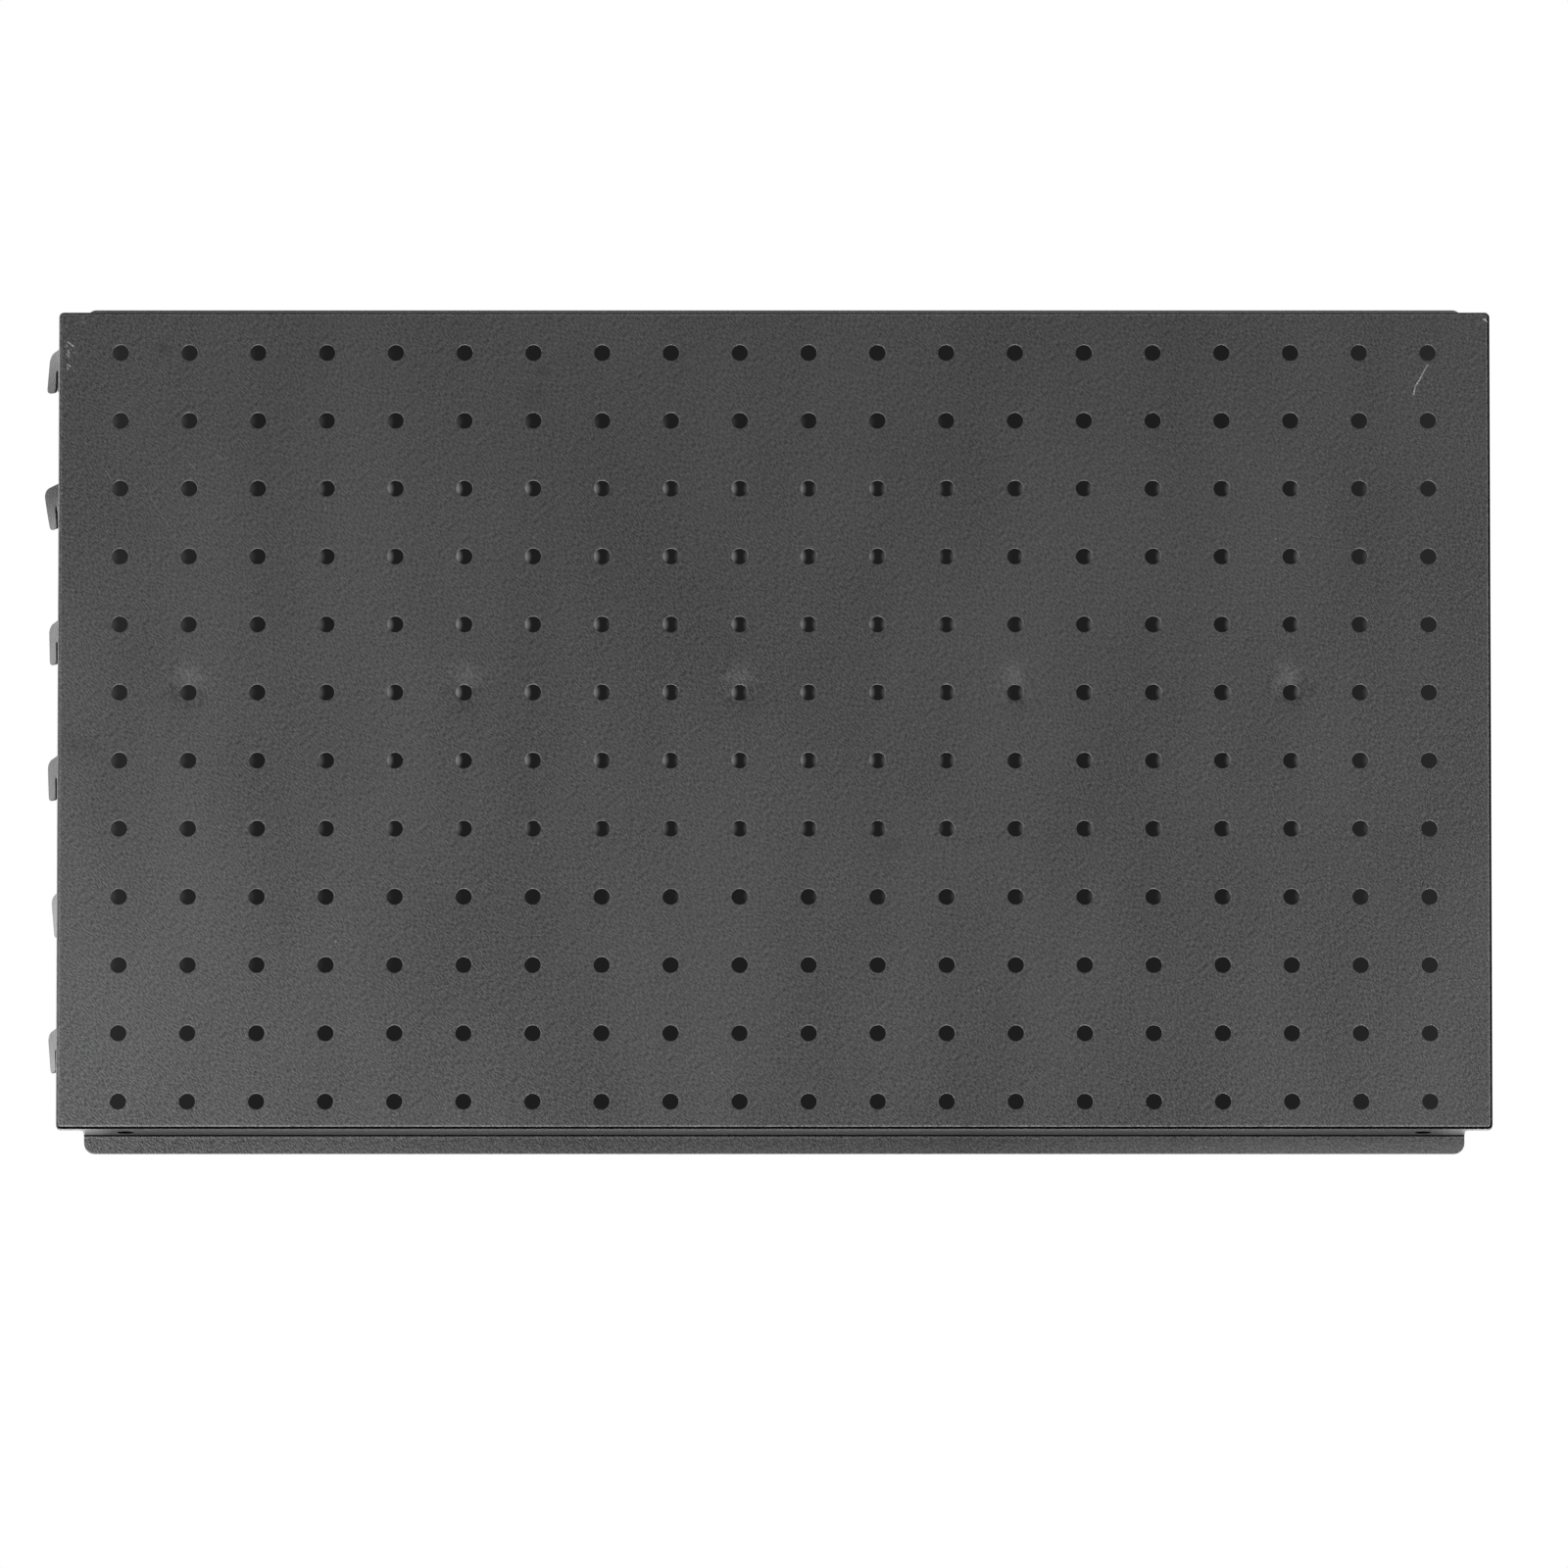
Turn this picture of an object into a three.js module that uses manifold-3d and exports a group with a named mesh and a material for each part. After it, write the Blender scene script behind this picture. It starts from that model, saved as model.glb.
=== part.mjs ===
// Perforated steel tool panel that hooks between two slotted uprights.
// Millimetres, +Z up, +X along the panel's width, and the front face looks along -Y.
// The origin is the centre of the front face.

import * as THREE from "three";
import { mergeGeometries, mergeVertices } from "three/addons/utils/BufferGeometryUtils.js";
import Module from "manifold-3d";

const wasm = await Module();
wasm.setup();

// Pressed pan
const FACE_WIDTH = 520;
const FACE_HEIGHT = 300;
const PAN_DEPTH = 20;
const SHEET = 1;
const BEND_RADIUS = 1.5;
const INNER_BEND_RADIUS = BEND_RADIUS - SHEET;
const OUTLINE_RADIUS = 1.8;
const BEND_SEGMENTS = 3;

// Peg holes, on a square grid
const PEG_PITCH = 25;
const PEG_COLUMNS = 20;
const PEG_ROWS = 12;
const PEG_TOP_MARGIN = 15;
const PEG_CORNER_RADIUS = 3.12;
const PEG_SIDES = 8;
const FIRST_COLUMN_X = (-PEG_PITCH * (PEG_COLUMNS - 1)) / 2;
const TOP_ROW_Z = FACE_HEIGHT / 2 - PEG_TOP_MARGIN;

// Corner reliefs, where the flanges are cut back to a shallow rim
const RELIEF_LENGTH = 10;
const SIDE_RELIEF_LENGTH = 7;
const RIM_DEPTH = 5;
const RELIEF_RADIUS = 2.5;

// Lips along the rear of the top and bottom flanges
const LIP_LENGTH = FACE_WIDTH - 2 * RELIEF_LENGTH;
const LOWER_LIP_HEIGHT = 6.5;
const UPPER_LIP_HEIGHT = 4;
const LIP_CORNER_RADIUS = 3.75;

// Fixing holes in the top and bottom flanges
const FIXING_RADIUS = 2.75;
const FIXING_X = 235;
const FIXING_Y = PAN_DEPTH / 2;
const FIXING_SIDES = 16;

// Angle stiffener behind the face, between two rows of holes
const STIFFENER_SHEET = 1.2;
const STIFFENER_LENGTH = 492;
const STIFFENER_BOTTOM_Z = 14.5;
const STIFFENER_TOP_Z = 31;
const STIFFENER_DEPTH = 16;
const STIFFENER_HEEL_RADIUS = 2;

// Tack welds under the stiffener's free edge
const WELD_LEG = 1.3;
const WELD_LENGTH = 7;
const WELD_COLUMNS = [2, 6, 10, 14, 18];

// Hooks on the side flanges
const HOOK_SHEET = 1.2;
const HOOK_PITCH = 50;
const TOP_HOOK_Z = 124.5;
const HOOK_HEIGHT = 16;
const HOOK_REACH = 9;
const HOOK_ROOT_LENGTH = 12;
const HOOK_CLEARANCE = 0.8;
const HOOK_OVERLAP = 0.2;
const SLOT_START = 3.1;
const SLOT_WIDTH = 1.5;
const SLOT_HEIGHT = 8;
const LEG_RADIUS = 1.4;
const SHOULDER_DROP = 2.4;
const SHOULDER_RISE = 0.6;
const SHOULDER_START = 7.2;
const SHOULDER_RADIUS = 2;
const GUSSET_HEIGHT = 2;
const GUSSET_REACH = 1.6;

// Each left hook was knocked outwards by its own amount: the turn at mid height, and how far
// its outer edge leans in towards the bottom, in degrees. The right hooks are still straight.
const LEFT_HOOKS = [
  { turn: 39, lean: -5 },
  { turn: 46, lean: 9.5 },
  { turn: 34, lean: 1.5 },
  { turn: 36, lean: 2 },
  { turn: 22, lean: 5 },
  { turn: 30, lean: 4.5 },
];
const STRAIGHT = { turn: 0, lean: 0 };

// Extra length that carries a cutting solid past the material it cuts
const PAST = 3;

function positionsOnly(geometry) {
  const bare = geometry.index ? geometry.toNonIndexed() : geometry.clone();
  bare.deleteAttribute("normal");
  bare.deleteAttribute("uv");
  return bare;
}

function solidOf(geometry) {
  const merged = mergeVertices(positionsOnly(geometry), 1e-4);
  const mesh = new wasm.Mesh({
    numProp: 3,
    vertProperties: new Float32Array(merged.attributes.position.array),
    triVerts: new Uint32Array(merged.index.array),
  });
  return new wasm.Manifold(mesh);
}

function geometryOf(solid) {
  const mesh = solid.getMesh();
  const geometry = new THREE.BufferGeometry();
  const positions = new THREE.BufferAttribute(new Float32Array(mesh.vertProperties), 3);
  geometry.setAttribute("position", positions);
  geometry.setIndex(new THREE.BufferAttribute(new Uint32Array(mesh.triVerts), 1));
  const flat = geometry.toNonIndexed();
  flat.computeVertexNormals();
  return flat;
}

function extrude(shape, length, options = {}) {
  const plain = { depth: length, bevelEnabled: false, curveSegments: BEND_SEGMENTS };
  return new THREE.ExtrudeGeometry(shape, { ...plain, ...options });
}

// A shape drawn in (y, z), pulled along X
function alongX(shape, start, end) {
  const turn = new THREE.Matrix4().makeBasis(
    new THREE.Vector3(0, 1, 0),
    new THREE.Vector3(0, 0, 1),
    new THREE.Vector3(1, 0, 0),
  );
  return extrude(shape, end - start).applyMatrix4(turn).translate(start, 0, 0);
}

// A shape drawn in (x, z), pulled along Y
function alongY(shape, start, end, options) {
  return extrude(shape, end - start, options).rotateX(Math.PI / 2).translate(0, end, 0);
}

// A shape drawn in (x, y), pulled along Z
function alongZ(shape, start, end) {
  return extrude(shape, end - start).translate(0, 0, start);
}

function boxBetween(low, high) {
  const size = high.map((value, axis) => value - low[axis]);
  const middle = high.map((value, axis) => (value + low[axis]) / 2);
  return new THREE.BoxGeometry(...size).translate(...middle);
}

function roundedRectangle(width, height, radius) {
  const x = width / 2 - radius;
  const z = height / 2 - radius;
  const shape = new THREE.Shape();
  shape.absarc(x, z, radius, 0, Math.PI / 2);
  shape.absarc(-x, z, radius, Math.PI / 2, Math.PI);
  shape.absarc(-x, -z, radius, Math.PI, 1.5 * Math.PI);
  shape.absarc(x, -z, radius, 1.5 * Math.PI, 2 * Math.PI);
  return shape;
}

// A block whose front face and sides lie this far inside the pan's, with rolled front edges
function rolledBlock(inset, bend) {
  const outline = roundedRectangle(
    FACE_WIDTH - 2 * inset,
    FACE_HEIGHT - 2 * inset,
    OUTLINE_RADIUS - inset,
  );
  const roll = {
    bevelEnabled: true,
    bevelThickness: bend,
    bevelSize: bend,
    bevelOffset: -bend,
    bevelSegments: BEND_SEGMENTS,
  };
  return solidOf(alongY(outline, inset + bend, PAN_DEPTH + 2 * PAST, roll));
}

// The face and its four flanges, open at the rear
function openPan() {
  const block = rolledBlock(0, BEND_RADIUS);
  const hollow = rolledBlock(SHEET, INNER_BEND_RADIUS);
  const farther = solidOf(
    boxBetween(
      [-FACE_WIDTH, PAN_DEPTH, -FACE_HEIGHT],
      [FACE_WIDTH, 2 * PAN_DEPTH, FACE_HEIGHT],
    ),
  );
  return block.subtract(hollow).subtract(farther);
}

// The notch at one end of a top or bottom flange, seen from above
function flangeRelief(sideX, sideZ) {
  const edge = LIP_LENGTH / 2;
  const shape = new THREE.Shape();
  shape.moveTo(sideX * edge, PAN_DEPTH + PAST);
  shape.lineTo(sideX * edge, RIM_DEPTH + RELIEF_RADIUS);
  shape.quadraticCurveTo(sideX * edge, RIM_DEPTH, sideX * (edge + RELIEF_RADIUS), RIM_DEPTH);
  shape.lineTo(sideX * (FACE_WIDTH / 2 + PAST), RIM_DEPTH);
  shape.lineTo(sideX * (FACE_WIDTH / 2 + PAST), PAN_DEPTH + PAST);
  const heights = [FACE_HEIGHT / 2 - PAST, FACE_HEIGHT / 2 + 2 * PAST + LOWER_LIP_HEIGHT];
  const [low, high] = heights.map((height) => sideZ * height).sort((a, b) => a - b);
  return solidOf(alongZ(shape, low, high));
}

// The notch at one end of a side flange, seen from the side
function returnRelief(sideX, sideZ) {
  const edge = FACE_HEIGHT / 2 - SIDE_RELIEF_LENGTH;
  const shape = new THREE.Shape();
  shape.moveTo(PAN_DEPTH + PAST, sideZ * edge);
  shape.lineTo(RIM_DEPTH + RELIEF_RADIUS, sideZ * edge);
  shape.quadraticCurveTo(RIM_DEPTH, sideZ * edge, RIM_DEPTH, sideZ * (edge + RELIEF_RADIUS));
  shape.lineTo(RIM_DEPTH, sideZ * (FACE_HEIGHT / 2 + PAST));
  shape.lineTo(PAN_DEPTH + PAST, sideZ * (FACE_HEIGHT / 2 + PAST));
  const widths = [FACE_WIDTH / 2 - PAST, FACE_WIDTH / 2 + PAST];
  const [low, high] = widths.map((width) => sideX * width).sort((a, b) => a - b);
  return solidOf(alongX(shape, low, high));
}

// The rear end of a flange, where the lip's bend takes over
function flangeEnd(sideZ) {
  const half = LIP_LENGTH / 2 + PAST;
  const heights = [FACE_HEIGHT / 2 - 2 * SHEET, FACE_HEIGHT / 2 + SHEET];
  const [low, high] = heights.map((height) => sideZ * height).sort((a, b) => a - b);
  return solidOf(
    boxBetween([-half, PAN_DEPTH - BEND_RADIUS, low], [half, PAN_DEPTH + SHEET, high]),
  );
}

// A lip with its bend, turned away from the pan along the flange's rear edge
function lip(sideZ, height) {
  const bendY = PAN_DEPTH - BEND_RADIUS;
  const flangeZ = FACE_HEIGHT / 2;
  const bendZ = flangeZ + INNER_BEND_RADIUS;
  const section = new THREE.Shape();
  const steps = BEND_SEGMENTS + 1;
  section.moveTo(bendY - SHEET, sideZ * (flangeZ - SHEET));
  for (let step = 0; step <= steps; step += 1) {
    const angle = (step / steps) * (Math.PI / 2);
    const z = bendZ - BEND_RADIUS * Math.cos(angle);
    section.lineTo(bendY + BEND_RADIUS * Math.sin(angle), sideZ * z);
  }
  section.lineTo(PAN_DEPTH, sideZ * (flangeZ + height));
  section.lineTo(PAN_DEPTH - SHEET, sideZ * (flangeZ + height));
  for (let step = steps; step >= 0; step -= 1) {
    const angle = (step / steps) * (Math.PI / 2);
    const z = bendZ - INNER_BEND_RADIUS * Math.cos(angle);
    section.lineTo(bendY + INNER_BEND_RADIUS * Math.sin(angle), sideZ * z);
  }
  section.lineTo(bendY - SHEET, sideZ * flangeZ);
  const strip = solidOf(alongX(section, -LIP_LENGTH / 2, LIP_LENGTH / 2));
  return strip.intersect(lipOutline(sideZ, height));
}

// The lip's outline from behind, with its free corners rounded
function lipOutline(sideZ, height) {
  const half = LIP_LENGTH / 2;
  const free = FACE_HEIGHT / 2 + height;
  const root = FACE_HEIGHT / 2 - 2 * SHEET;
  const radius = Math.min(LIP_CORNER_RADIUS, height);
  const shape = new THREE.Shape();
  shape.moveTo(-half, sideZ * root);
  shape.lineTo(half, sideZ * root);
  shape.lineTo(half, sideZ * (free - radius));
  shape.quadraticCurveTo(half, sideZ * free, half - radius, sideZ * free);
  shape.lineTo(radius - half, sideZ * free);
  shape.quadraticCurveTo(-half, sideZ * free, -half, sideZ * (free - radius));
  return solidOf(alongY(shape, 0, PAN_DEPTH + PAST));
}

function pegHoles() {
  const cutters = [];
  for (let row = 0; row < PEG_ROWS; row += 1) {
    for (let column = 0; column < PEG_COLUMNS; column += 1) {
      const cutter = new THREE.CylinderGeometry(
        PEG_CORNER_RADIUS,
        PEG_CORNER_RADIUS,
        SHEET + 2 * PAST,
        PEG_SIDES,
      );
      const x = FIRST_COLUMN_X + column * PEG_PITCH;
      cutters.push(cutter.translate(x, SHEET / 2, TOP_ROW_Z - row * PEG_PITCH));
    }
  }
  return solidOf(mergeGeometries(cutters.map(positionsOnly)));
}

function fixingHole(sideX, sideZ) {
  const length = SHEET + 2 * PAST;
  const cutter = new THREE.CylinderGeometry(FIXING_RADIUS, FIXING_RADIUS, length, FIXING_SIDES);
  const z = sideZ * (FACE_HEIGHT / 2 - SHEET / 2);
  return solidOf(cutter.rotateX(Math.PI / 2).translate(sideX * FIXING_X, FIXING_Y, z));
}

function facePanel() {
  let pan = openPan();
  for (const sideZ of [-1, 1]) {
    pan = pan.subtract(flangeEnd(sideZ));
    pan = pan.add(lip(sideZ, sideZ < 0 ? LOWER_LIP_HEIGHT : UPPER_LIP_HEIGHT));
    for (const sideX of [-1, 1]) {
      pan = pan.subtract(flangeRelief(sideX, sideZ));
      pan = pan.subtract(returnRelief(sideX, sideZ));
      pan = pan.subtract(fixingHole(sideX, sideZ));
    }
  }
  return geometryOf(pan.subtract(pegHoles()));
}

// A bent angle: the foot lies flat on the face's rear and the web stands back from its top edge
function midStiffener() {
  const inner = STIFFENER_HEEL_RADIUS - STIFFENER_SHEET;
  const footY = SHEET + STIFFENER_SHEET;
  const webZ = STIFFENER_TOP_Z - STIFFENER_SHEET;
  const centreY = SHEET + STIFFENER_HEEL_RADIUS;
  const centreZ = STIFFENER_TOP_Z - STIFFENER_HEEL_RADIUS;
  const section = new THREE.Shape();
  section.moveTo(SHEET, STIFFENER_BOTTOM_Z);
  section.lineTo(footY, STIFFENER_BOTTOM_Z);
  section.absarc(centreY, centreZ, inner, Math.PI, Math.PI / 2, true);
  section.lineTo(SHEET + STIFFENER_DEPTH, webZ);
  section.lineTo(SHEET + STIFFENER_DEPTH, STIFFENER_TOP_Z);
  section.absarc(centreY, centreZ, STIFFENER_HEEL_RADIUS, Math.PI / 2, Math.PI);
  return alongX(section, -STIFFENER_LENGTH / 2, STIFFENER_LENGTH / 2);
}

// A short fillet bead in the corner between the face's rear and the stiffener's free edge
function tackWeld(column) {
  const section = new THREE.Shape();
  section.moveTo(SHEET, STIFFENER_BOTTOM_Z);
  section.lineTo(SHEET, STIFFENER_BOTTOM_Z - WELD_LEG);
  section.quadraticCurveTo(
    SHEET + WELD_LEG,
    STIFFENER_BOTTOM_Z - WELD_LEG,
    SHEET + WELD_LEG,
    STIFFENER_BOTTOM_Z,
  );
  const x = FIRST_COLUMN_X + (column - 1) * PEG_PITCH;
  return alongX(section, x - WELD_LENGTH / 2, x + WELD_LENGTH / 2);
}

// The part of a hook behind the flange, drawn as (distance behind the flange, height)
function hookOutline() {
  const slotEnd = SLOT_START + SLOT_WIDTH;
  const slotRadius = SLOT_WIDTH / 2;
  const shoulderZ = HOOK_HEIGHT - SHOULDER_DROP;
  const shape = new THREE.Shape();
  shape.moveTo(-HOOK_OVERLAP, 0);
  shape.lineTo(SLOT_START, 0);
  shape.lineTo(SLOT_START, SLOT_HEIGHT - slotRadius);
  shape.absarc(SLOT_START + slotRadius, SLOT_HEIGHT - slotRadius, slotRadius, Math.PI, 0, true);
  shape.lineTo(slotEnd, LEG_RADIUS);
  shape.quadraticCurveTo(slotEnd, 0, slotEnd + LEG_RADIUS, 0);
  shape.lineTo(HOOK_REACH - LEG_RADIUS, 0);
  shape.quadraticCurveTo(HOOK_REACH, 0, HOOK_REACH, LEG_RADIUS);
  shape.lineTo(HOOK_REACH, shoulderZ - SHOULDER_RADIUS);
  shape.quadraticCurveTo(HOOK_REACH, shoulderZ, SHOULDER_START, shoulderZ + SHOULDER_RISE);
  shape.lineTo(GUSSET_REACH, HOOK_HEIGHT);
  shape.quadraticCurveTo(0, HOOK_HEIGHT, 0, HOOK_HEIGHT + GUSSET_HEIGHT);
  shape.lineTo(-HOOK_OVERLAP, HOOK_HEIGHT + GUSSET_HEIGHT);
  return shape;
}

// Turns each point of the blade outwards about the bend line, by more or less with its height
function bendBlade(geometry, hook, side) {
  const turn = THREE.MathUtils.degToRad(hook.turn);
  const lean = Math.tan(THREE.MathUtils.degToRad(hook.lean));
  const twist = lean / (HOOK_REACH * Math.cos(turn));
  const innerX = FACE_WIDTH / 2 - SHEET - HOOK_SHEET;
  const bendY = PAN_DEPTH + HOOK_CLEARANCE;
  const points = geometry.attributes.position;
  for (let index = 0; index < points.count; index += 1) {
    const behind = points.getX(index);
    const height = points.getY(index);
    const outwards = points.getZ(index);
    const angle = turn + twist * (height - HOOK_HEIGHT / 2);
    const x = innerX + outwards * Math.cos(angle) + behind * Math.sin(angle);
    const y = bendY + behind * Math.cos(angle) - outwards * Math.sin(angle);
    points.setXYZ(index, side * x, y, height);
  }
}

// The plate that is spot-welded to the inside of the side flange
function hookRoot(side) {
  const innerX = FACE_WIDTH / 2 - SHEET - HOOK_SHEET;
  const bendY = PAN_DEPTH + HOOK_CLEARANCE;
  const xs = [side * innerX, side * (innerX + HOOK_SHEET)].sort((a, b) => a - b);
  return boxBetween(
    [xs[0], bendY - HOOK_ROOT_LENGTH, 0],
    [xs[1], bendY, HOOK_HEIGHT + GUSSET_HEIGHT],
  );
}

// A mirrored geometry has its faces turned inside out; this turns them back
function flipFaces(geometry) {
  const points = geometry.attributes.position;
  for (let index = 0; index < points.count; index += 3) {
    const first = new THREE.Vector3().fromBufferAttribute(points, index);
    const last = new THREE.Vector3().fromBufferAttribute(points, index + 2);
    points.setXYZ(index, last.x, last.y, last.z);
    points.setXYZ(index + 2, first.x, first.y, first.z);
  }
}

// A hook with its lower end at z = 0, on the left side (-1) or the right side (1)
function sideHook(hook, side) {
  const blade = positionsOnly(extrude(hookOutline(), HOOK_SHEET));
  bendBlade(blade, hook, side);
  if (side < 0) {
    flipFaces(blade);
  }
  return geometryOf(solidOf(hookRoot(side)).add(solidOf(blade)));
}

function powderCoat() {
  return new THREE.MeshStandardMaterial({ color: 0x4a4b4d, roughness: 0.62, metalness: 0.1 });
}

function coatedWeld() {
  return new THREE.MeshStandardMaterial({ color: 0x454648, roughness: 0.55, metalness: 0.1 });
}

function addPiece(group, name, geometry, material, z = 0) {
  const mesh = new THREE.Mesh(geometry, material);
  mesh.name = name;
  mesh.position.z = z;
  group.add(mesh);
}

function toolPanel() {
  const group = new THREE.Group();
  addPiece(group, "face_panel", facePanel(), powderCoat());
  addPiece(group, "mid_stiffener", midStiffener(), powderCoat());
  WELD_COLUMNS.forEach((column, index) => {
    addPiece(group, "stiffener_weld_" + (index + 1), tackWeld(column), coatedWeld());
  });
  LEFT_HOOKS.forEach((hook, index) => {
    const z = TOP_HOOK_Z - index * HOOK_PITCH;
    addPiece(group, "left_hook_" + (index + 1), sideHook(hook, -1), powderCoat(), z);
    addPiece(group, "right_hook_" + (index + 1), sideHook(STRAIGHT, 1), powderCoat(), z);
  });
  return group;
}

export default toolPanel();
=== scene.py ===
"""Perforated steel tool panel in charcoal powder coat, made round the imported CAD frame.

Lengths are in millimetres and become metres when a mesh is made. The studio's are in metres.
The frame's axes: +X along the panel's width, +Y from its face to its back, +Z up.
"""
import math

import bpy
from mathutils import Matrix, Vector


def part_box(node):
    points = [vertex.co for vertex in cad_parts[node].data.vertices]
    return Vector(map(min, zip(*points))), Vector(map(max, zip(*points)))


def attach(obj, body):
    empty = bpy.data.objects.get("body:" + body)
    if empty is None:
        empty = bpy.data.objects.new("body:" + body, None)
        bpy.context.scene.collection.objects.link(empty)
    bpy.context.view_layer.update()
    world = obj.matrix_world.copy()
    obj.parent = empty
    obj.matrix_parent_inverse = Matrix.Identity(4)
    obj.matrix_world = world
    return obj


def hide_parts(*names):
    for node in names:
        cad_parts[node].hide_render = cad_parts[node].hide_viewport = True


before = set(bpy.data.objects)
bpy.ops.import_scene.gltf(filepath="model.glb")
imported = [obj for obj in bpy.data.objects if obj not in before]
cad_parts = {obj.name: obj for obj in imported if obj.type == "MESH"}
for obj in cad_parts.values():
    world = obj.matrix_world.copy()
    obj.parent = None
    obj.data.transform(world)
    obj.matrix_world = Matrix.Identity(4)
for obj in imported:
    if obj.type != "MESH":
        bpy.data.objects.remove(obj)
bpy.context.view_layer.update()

MM = 0.001


def box_mm(node):
    low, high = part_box(node)
    return [value / MM for value in low], [value / MM for value in high]


# ---------------- sizes

PANEL_LOW, PANEL_HIGH = box_mm("face_panel")
HALF_WIDTH = PANEL_HIGH[0]
HALF_HEIGHT = 150.0
DEPTH = PANEL_HIGH[1]
LOWER_LIP = -HALF_HEIGHT - PANEL_LOW[2]
UPPER_LIP = PANEL_HIGH[2] - HALF_HEIGHT
SHEET = 1.0
EDGE_RADIUS = 0.22
EDGE_STEPS = 3
NORMAL_WEIGHT = 80
TOUCH = 0.01

BEND_RADIUS = 1.5
LIP_BEND_RADIUS = 0.5
LIP_BEND_STEPS = 3
LIP_ROOT = "lip%d" % LIP_BEND_STEPS
BEND_STEPS = 6
OUTLINE_RADIUS = 1.8
CORNER_STEPS = 5

RIM_DEPTH = 5.0
RELIEF_LENGTH = 10.0
SIDE_RELIEF_LENGTH = 7.0
RELIEF_RADIUS = 2.5
RELIEF_LINES = (0, 0.28, 0.6, 1)
LIP_CORNER_RADIUS = 3.75
LIP_CORNER_STEPS = 6
LIP_END_FLAT = 0.2
# Depths of the grid lines behind the rim
FLANGE_ROWS = (RIM_DEPTH + RELIEF_RADIUS, 15.0)
SIDE_ROWS = (RIM_DEPTH + RELIEF_RADIUS, 13.0, DEPTH - EDGE_RADIUS)

PITCH = 25.0
COLUMNS = 20
ROWS = 12
TOP_MARGIN = 15.0
HOLE_RADIUS = 3.0
CELL_SIDE_STEPS = 6
HOLE_STEPS = 4 * CELL_SIDE_STEPS
# Radii of the rings of points round a plain hole and round one beside a dimple
PLAIN_RINGS = (4.6,)
DIMPLED_RINGS = (3.8, 4.8, 6.2, 8.0, 10.0)

FIXING_X = 235.0
FIXING_Y = DEPTH / 2
FIXING_RADIUS = 2.75
FIXING_BLOCK = 0.3 * PITCH
FIXING_PARTS = 3

# Heat dimples over the stiffener's tack welds
WELD_COLUMNS = (2, 6, 10, 14, 18)
DIMPLE_ROW = 6
DIMPLE_RISE = 2.5
DIMPLE_DEPTH = 0.8
DIMPLE_RADIUS = 5.5
SLOPE_STEP = 0.05

HOOK_SHEET = 1.2
HOOK_HEIGHT = 16.0
HOOK_RISE = 1.6
HOOK_REACH = 9.0 - EDGE_RADIUS
HOOK_ROOT = 12.0
HOOK_ROOT_RADIUS = 1.5
HOOK_BEND_LENGTH = 1.6
BEND_LINE_Y = DEPTH + 0.8
HOLLOW_REACH = 1.2
SLOT_START = 3.1
SLOT_WIDTH = 1.5
SLOT_HEIGHT = 8.0
LEG_RADIUS = 1.2
SHOULDER_RADIUS = 2.4
SHOULDER_DROP = 2.4
HOOK_ROWS = 4
HOOK_BACK_LINES = [-6, -3]
HOOK_FRONT_LINES = [1.5]

# The turn of each left hook at mid height and the lean of its outer edge, in degrees
LEFT_HOOKS = ((39, -5), (46, 9.5), (34, 1.5), (36, 2), (22, 5), (30, 4.5))

STIFFENER_SHEET = 1.2
STIFFENER_HEEL = 2.0
STIFFENER_FLAT_STEPS = 3
STIFFENER_HEEL_STEPS = 6
STIFFENER_LENGTH_STEPS = 24

BEAD_STATIONS = 36
BEAD_SIDES = 9
BEAD_RIPPLES = 6
BEAD_RIPPLE = 0.07
BEAD_BULGE = 0.05
BEAD_FILL = 0.92
BEAD_TIP = 0.08
BEAD_OVERLAP = 0.05

# ---------------- looks of the coat

COAT_COLOUR = (0.0335, 0.0335, 0.0340)
COAT_ROUGHNESS = (0.40, 0.50)
COAT_GLOSS = 0.5
GRAIN_TURN = 40.0
GRAIN_STRETCH = 0.38
GRAIN_SCALE = 1900.0
GRAIN_HEIGHT = 0.00026
GRAIN_CONTRAST = 0.56
PEBBLE_SCALE = 1400.0
PEBBLE_SHARE = 0.5
MOTTLE_SCALE = 18.0
MOTTLE_STRETCH = 0.45
MOTTLE_CONTRAST = 0.07

# Marks on the face, from its centre: (x, z, radius), or the two ends of a stroke
SMUDGES = (
    (-222, 136.3, 4.5), (-87, 119, 7.5), (-84, 128, 5), (-254, -8.5, 7), (-249, -10, 6), (41, -47.5, 5.5),
    (44, -46, 4), (40, -50.5, 3),
)
SCUFF_PATCHES = (
    (-256, 137, 4), (-251.5, 146.5, 2.5), (257, 147, 2.5),
)
SCUFFS = (
    ((-256.8, 138.9), (-254.7, 137.3)), ((-256.7, 135.8), (-256.3, 134.9)),
    ((-257, 134.5), (-256.3, 133.4)), ((-256.8, 130.6), (-255.8, 129.9)),
    ((-256.8, 129.5), (-256.7, 128.8)), ((237.5, 130.4), (236.1, 128.1)), ((236.1, 128.1), (234.7, 125.3)),
    ((234.7, 125.3), (232.9, 122.5)), ((232.9, 122.5), (232.4, 119.5)), ((258, 147.4), (259.2, 146.4)),
)
SCRATCHES = (
    ((258.2, 144.8), (258.3, 138.4)), ((252.2, 143.6), (252, 138.7)), ((232.4, 117), (233.2, 113.9)),
    ((-243, 92), (-236, 79)), ((-229, 86), (-214, 61)), ((-206, 101), (-199, 94)),
    ((-217, 101), (-209, 90)), ((44, -52), (48, -55.5)),
)
RUB_LINES = (
    ((44, -46), (118, -41.5)), ((118, -41.5), (200, -43.5)), ((200, -43.5), (257, -42)),
)
SMUDGE_SOFTNESS = 0.9
CLOUD_SCALE = 260.0
RUB_WIDTH = 1.6
RUB_STRENGTH = 0.4
PATCH_SOFTNESS = 0.5
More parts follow.
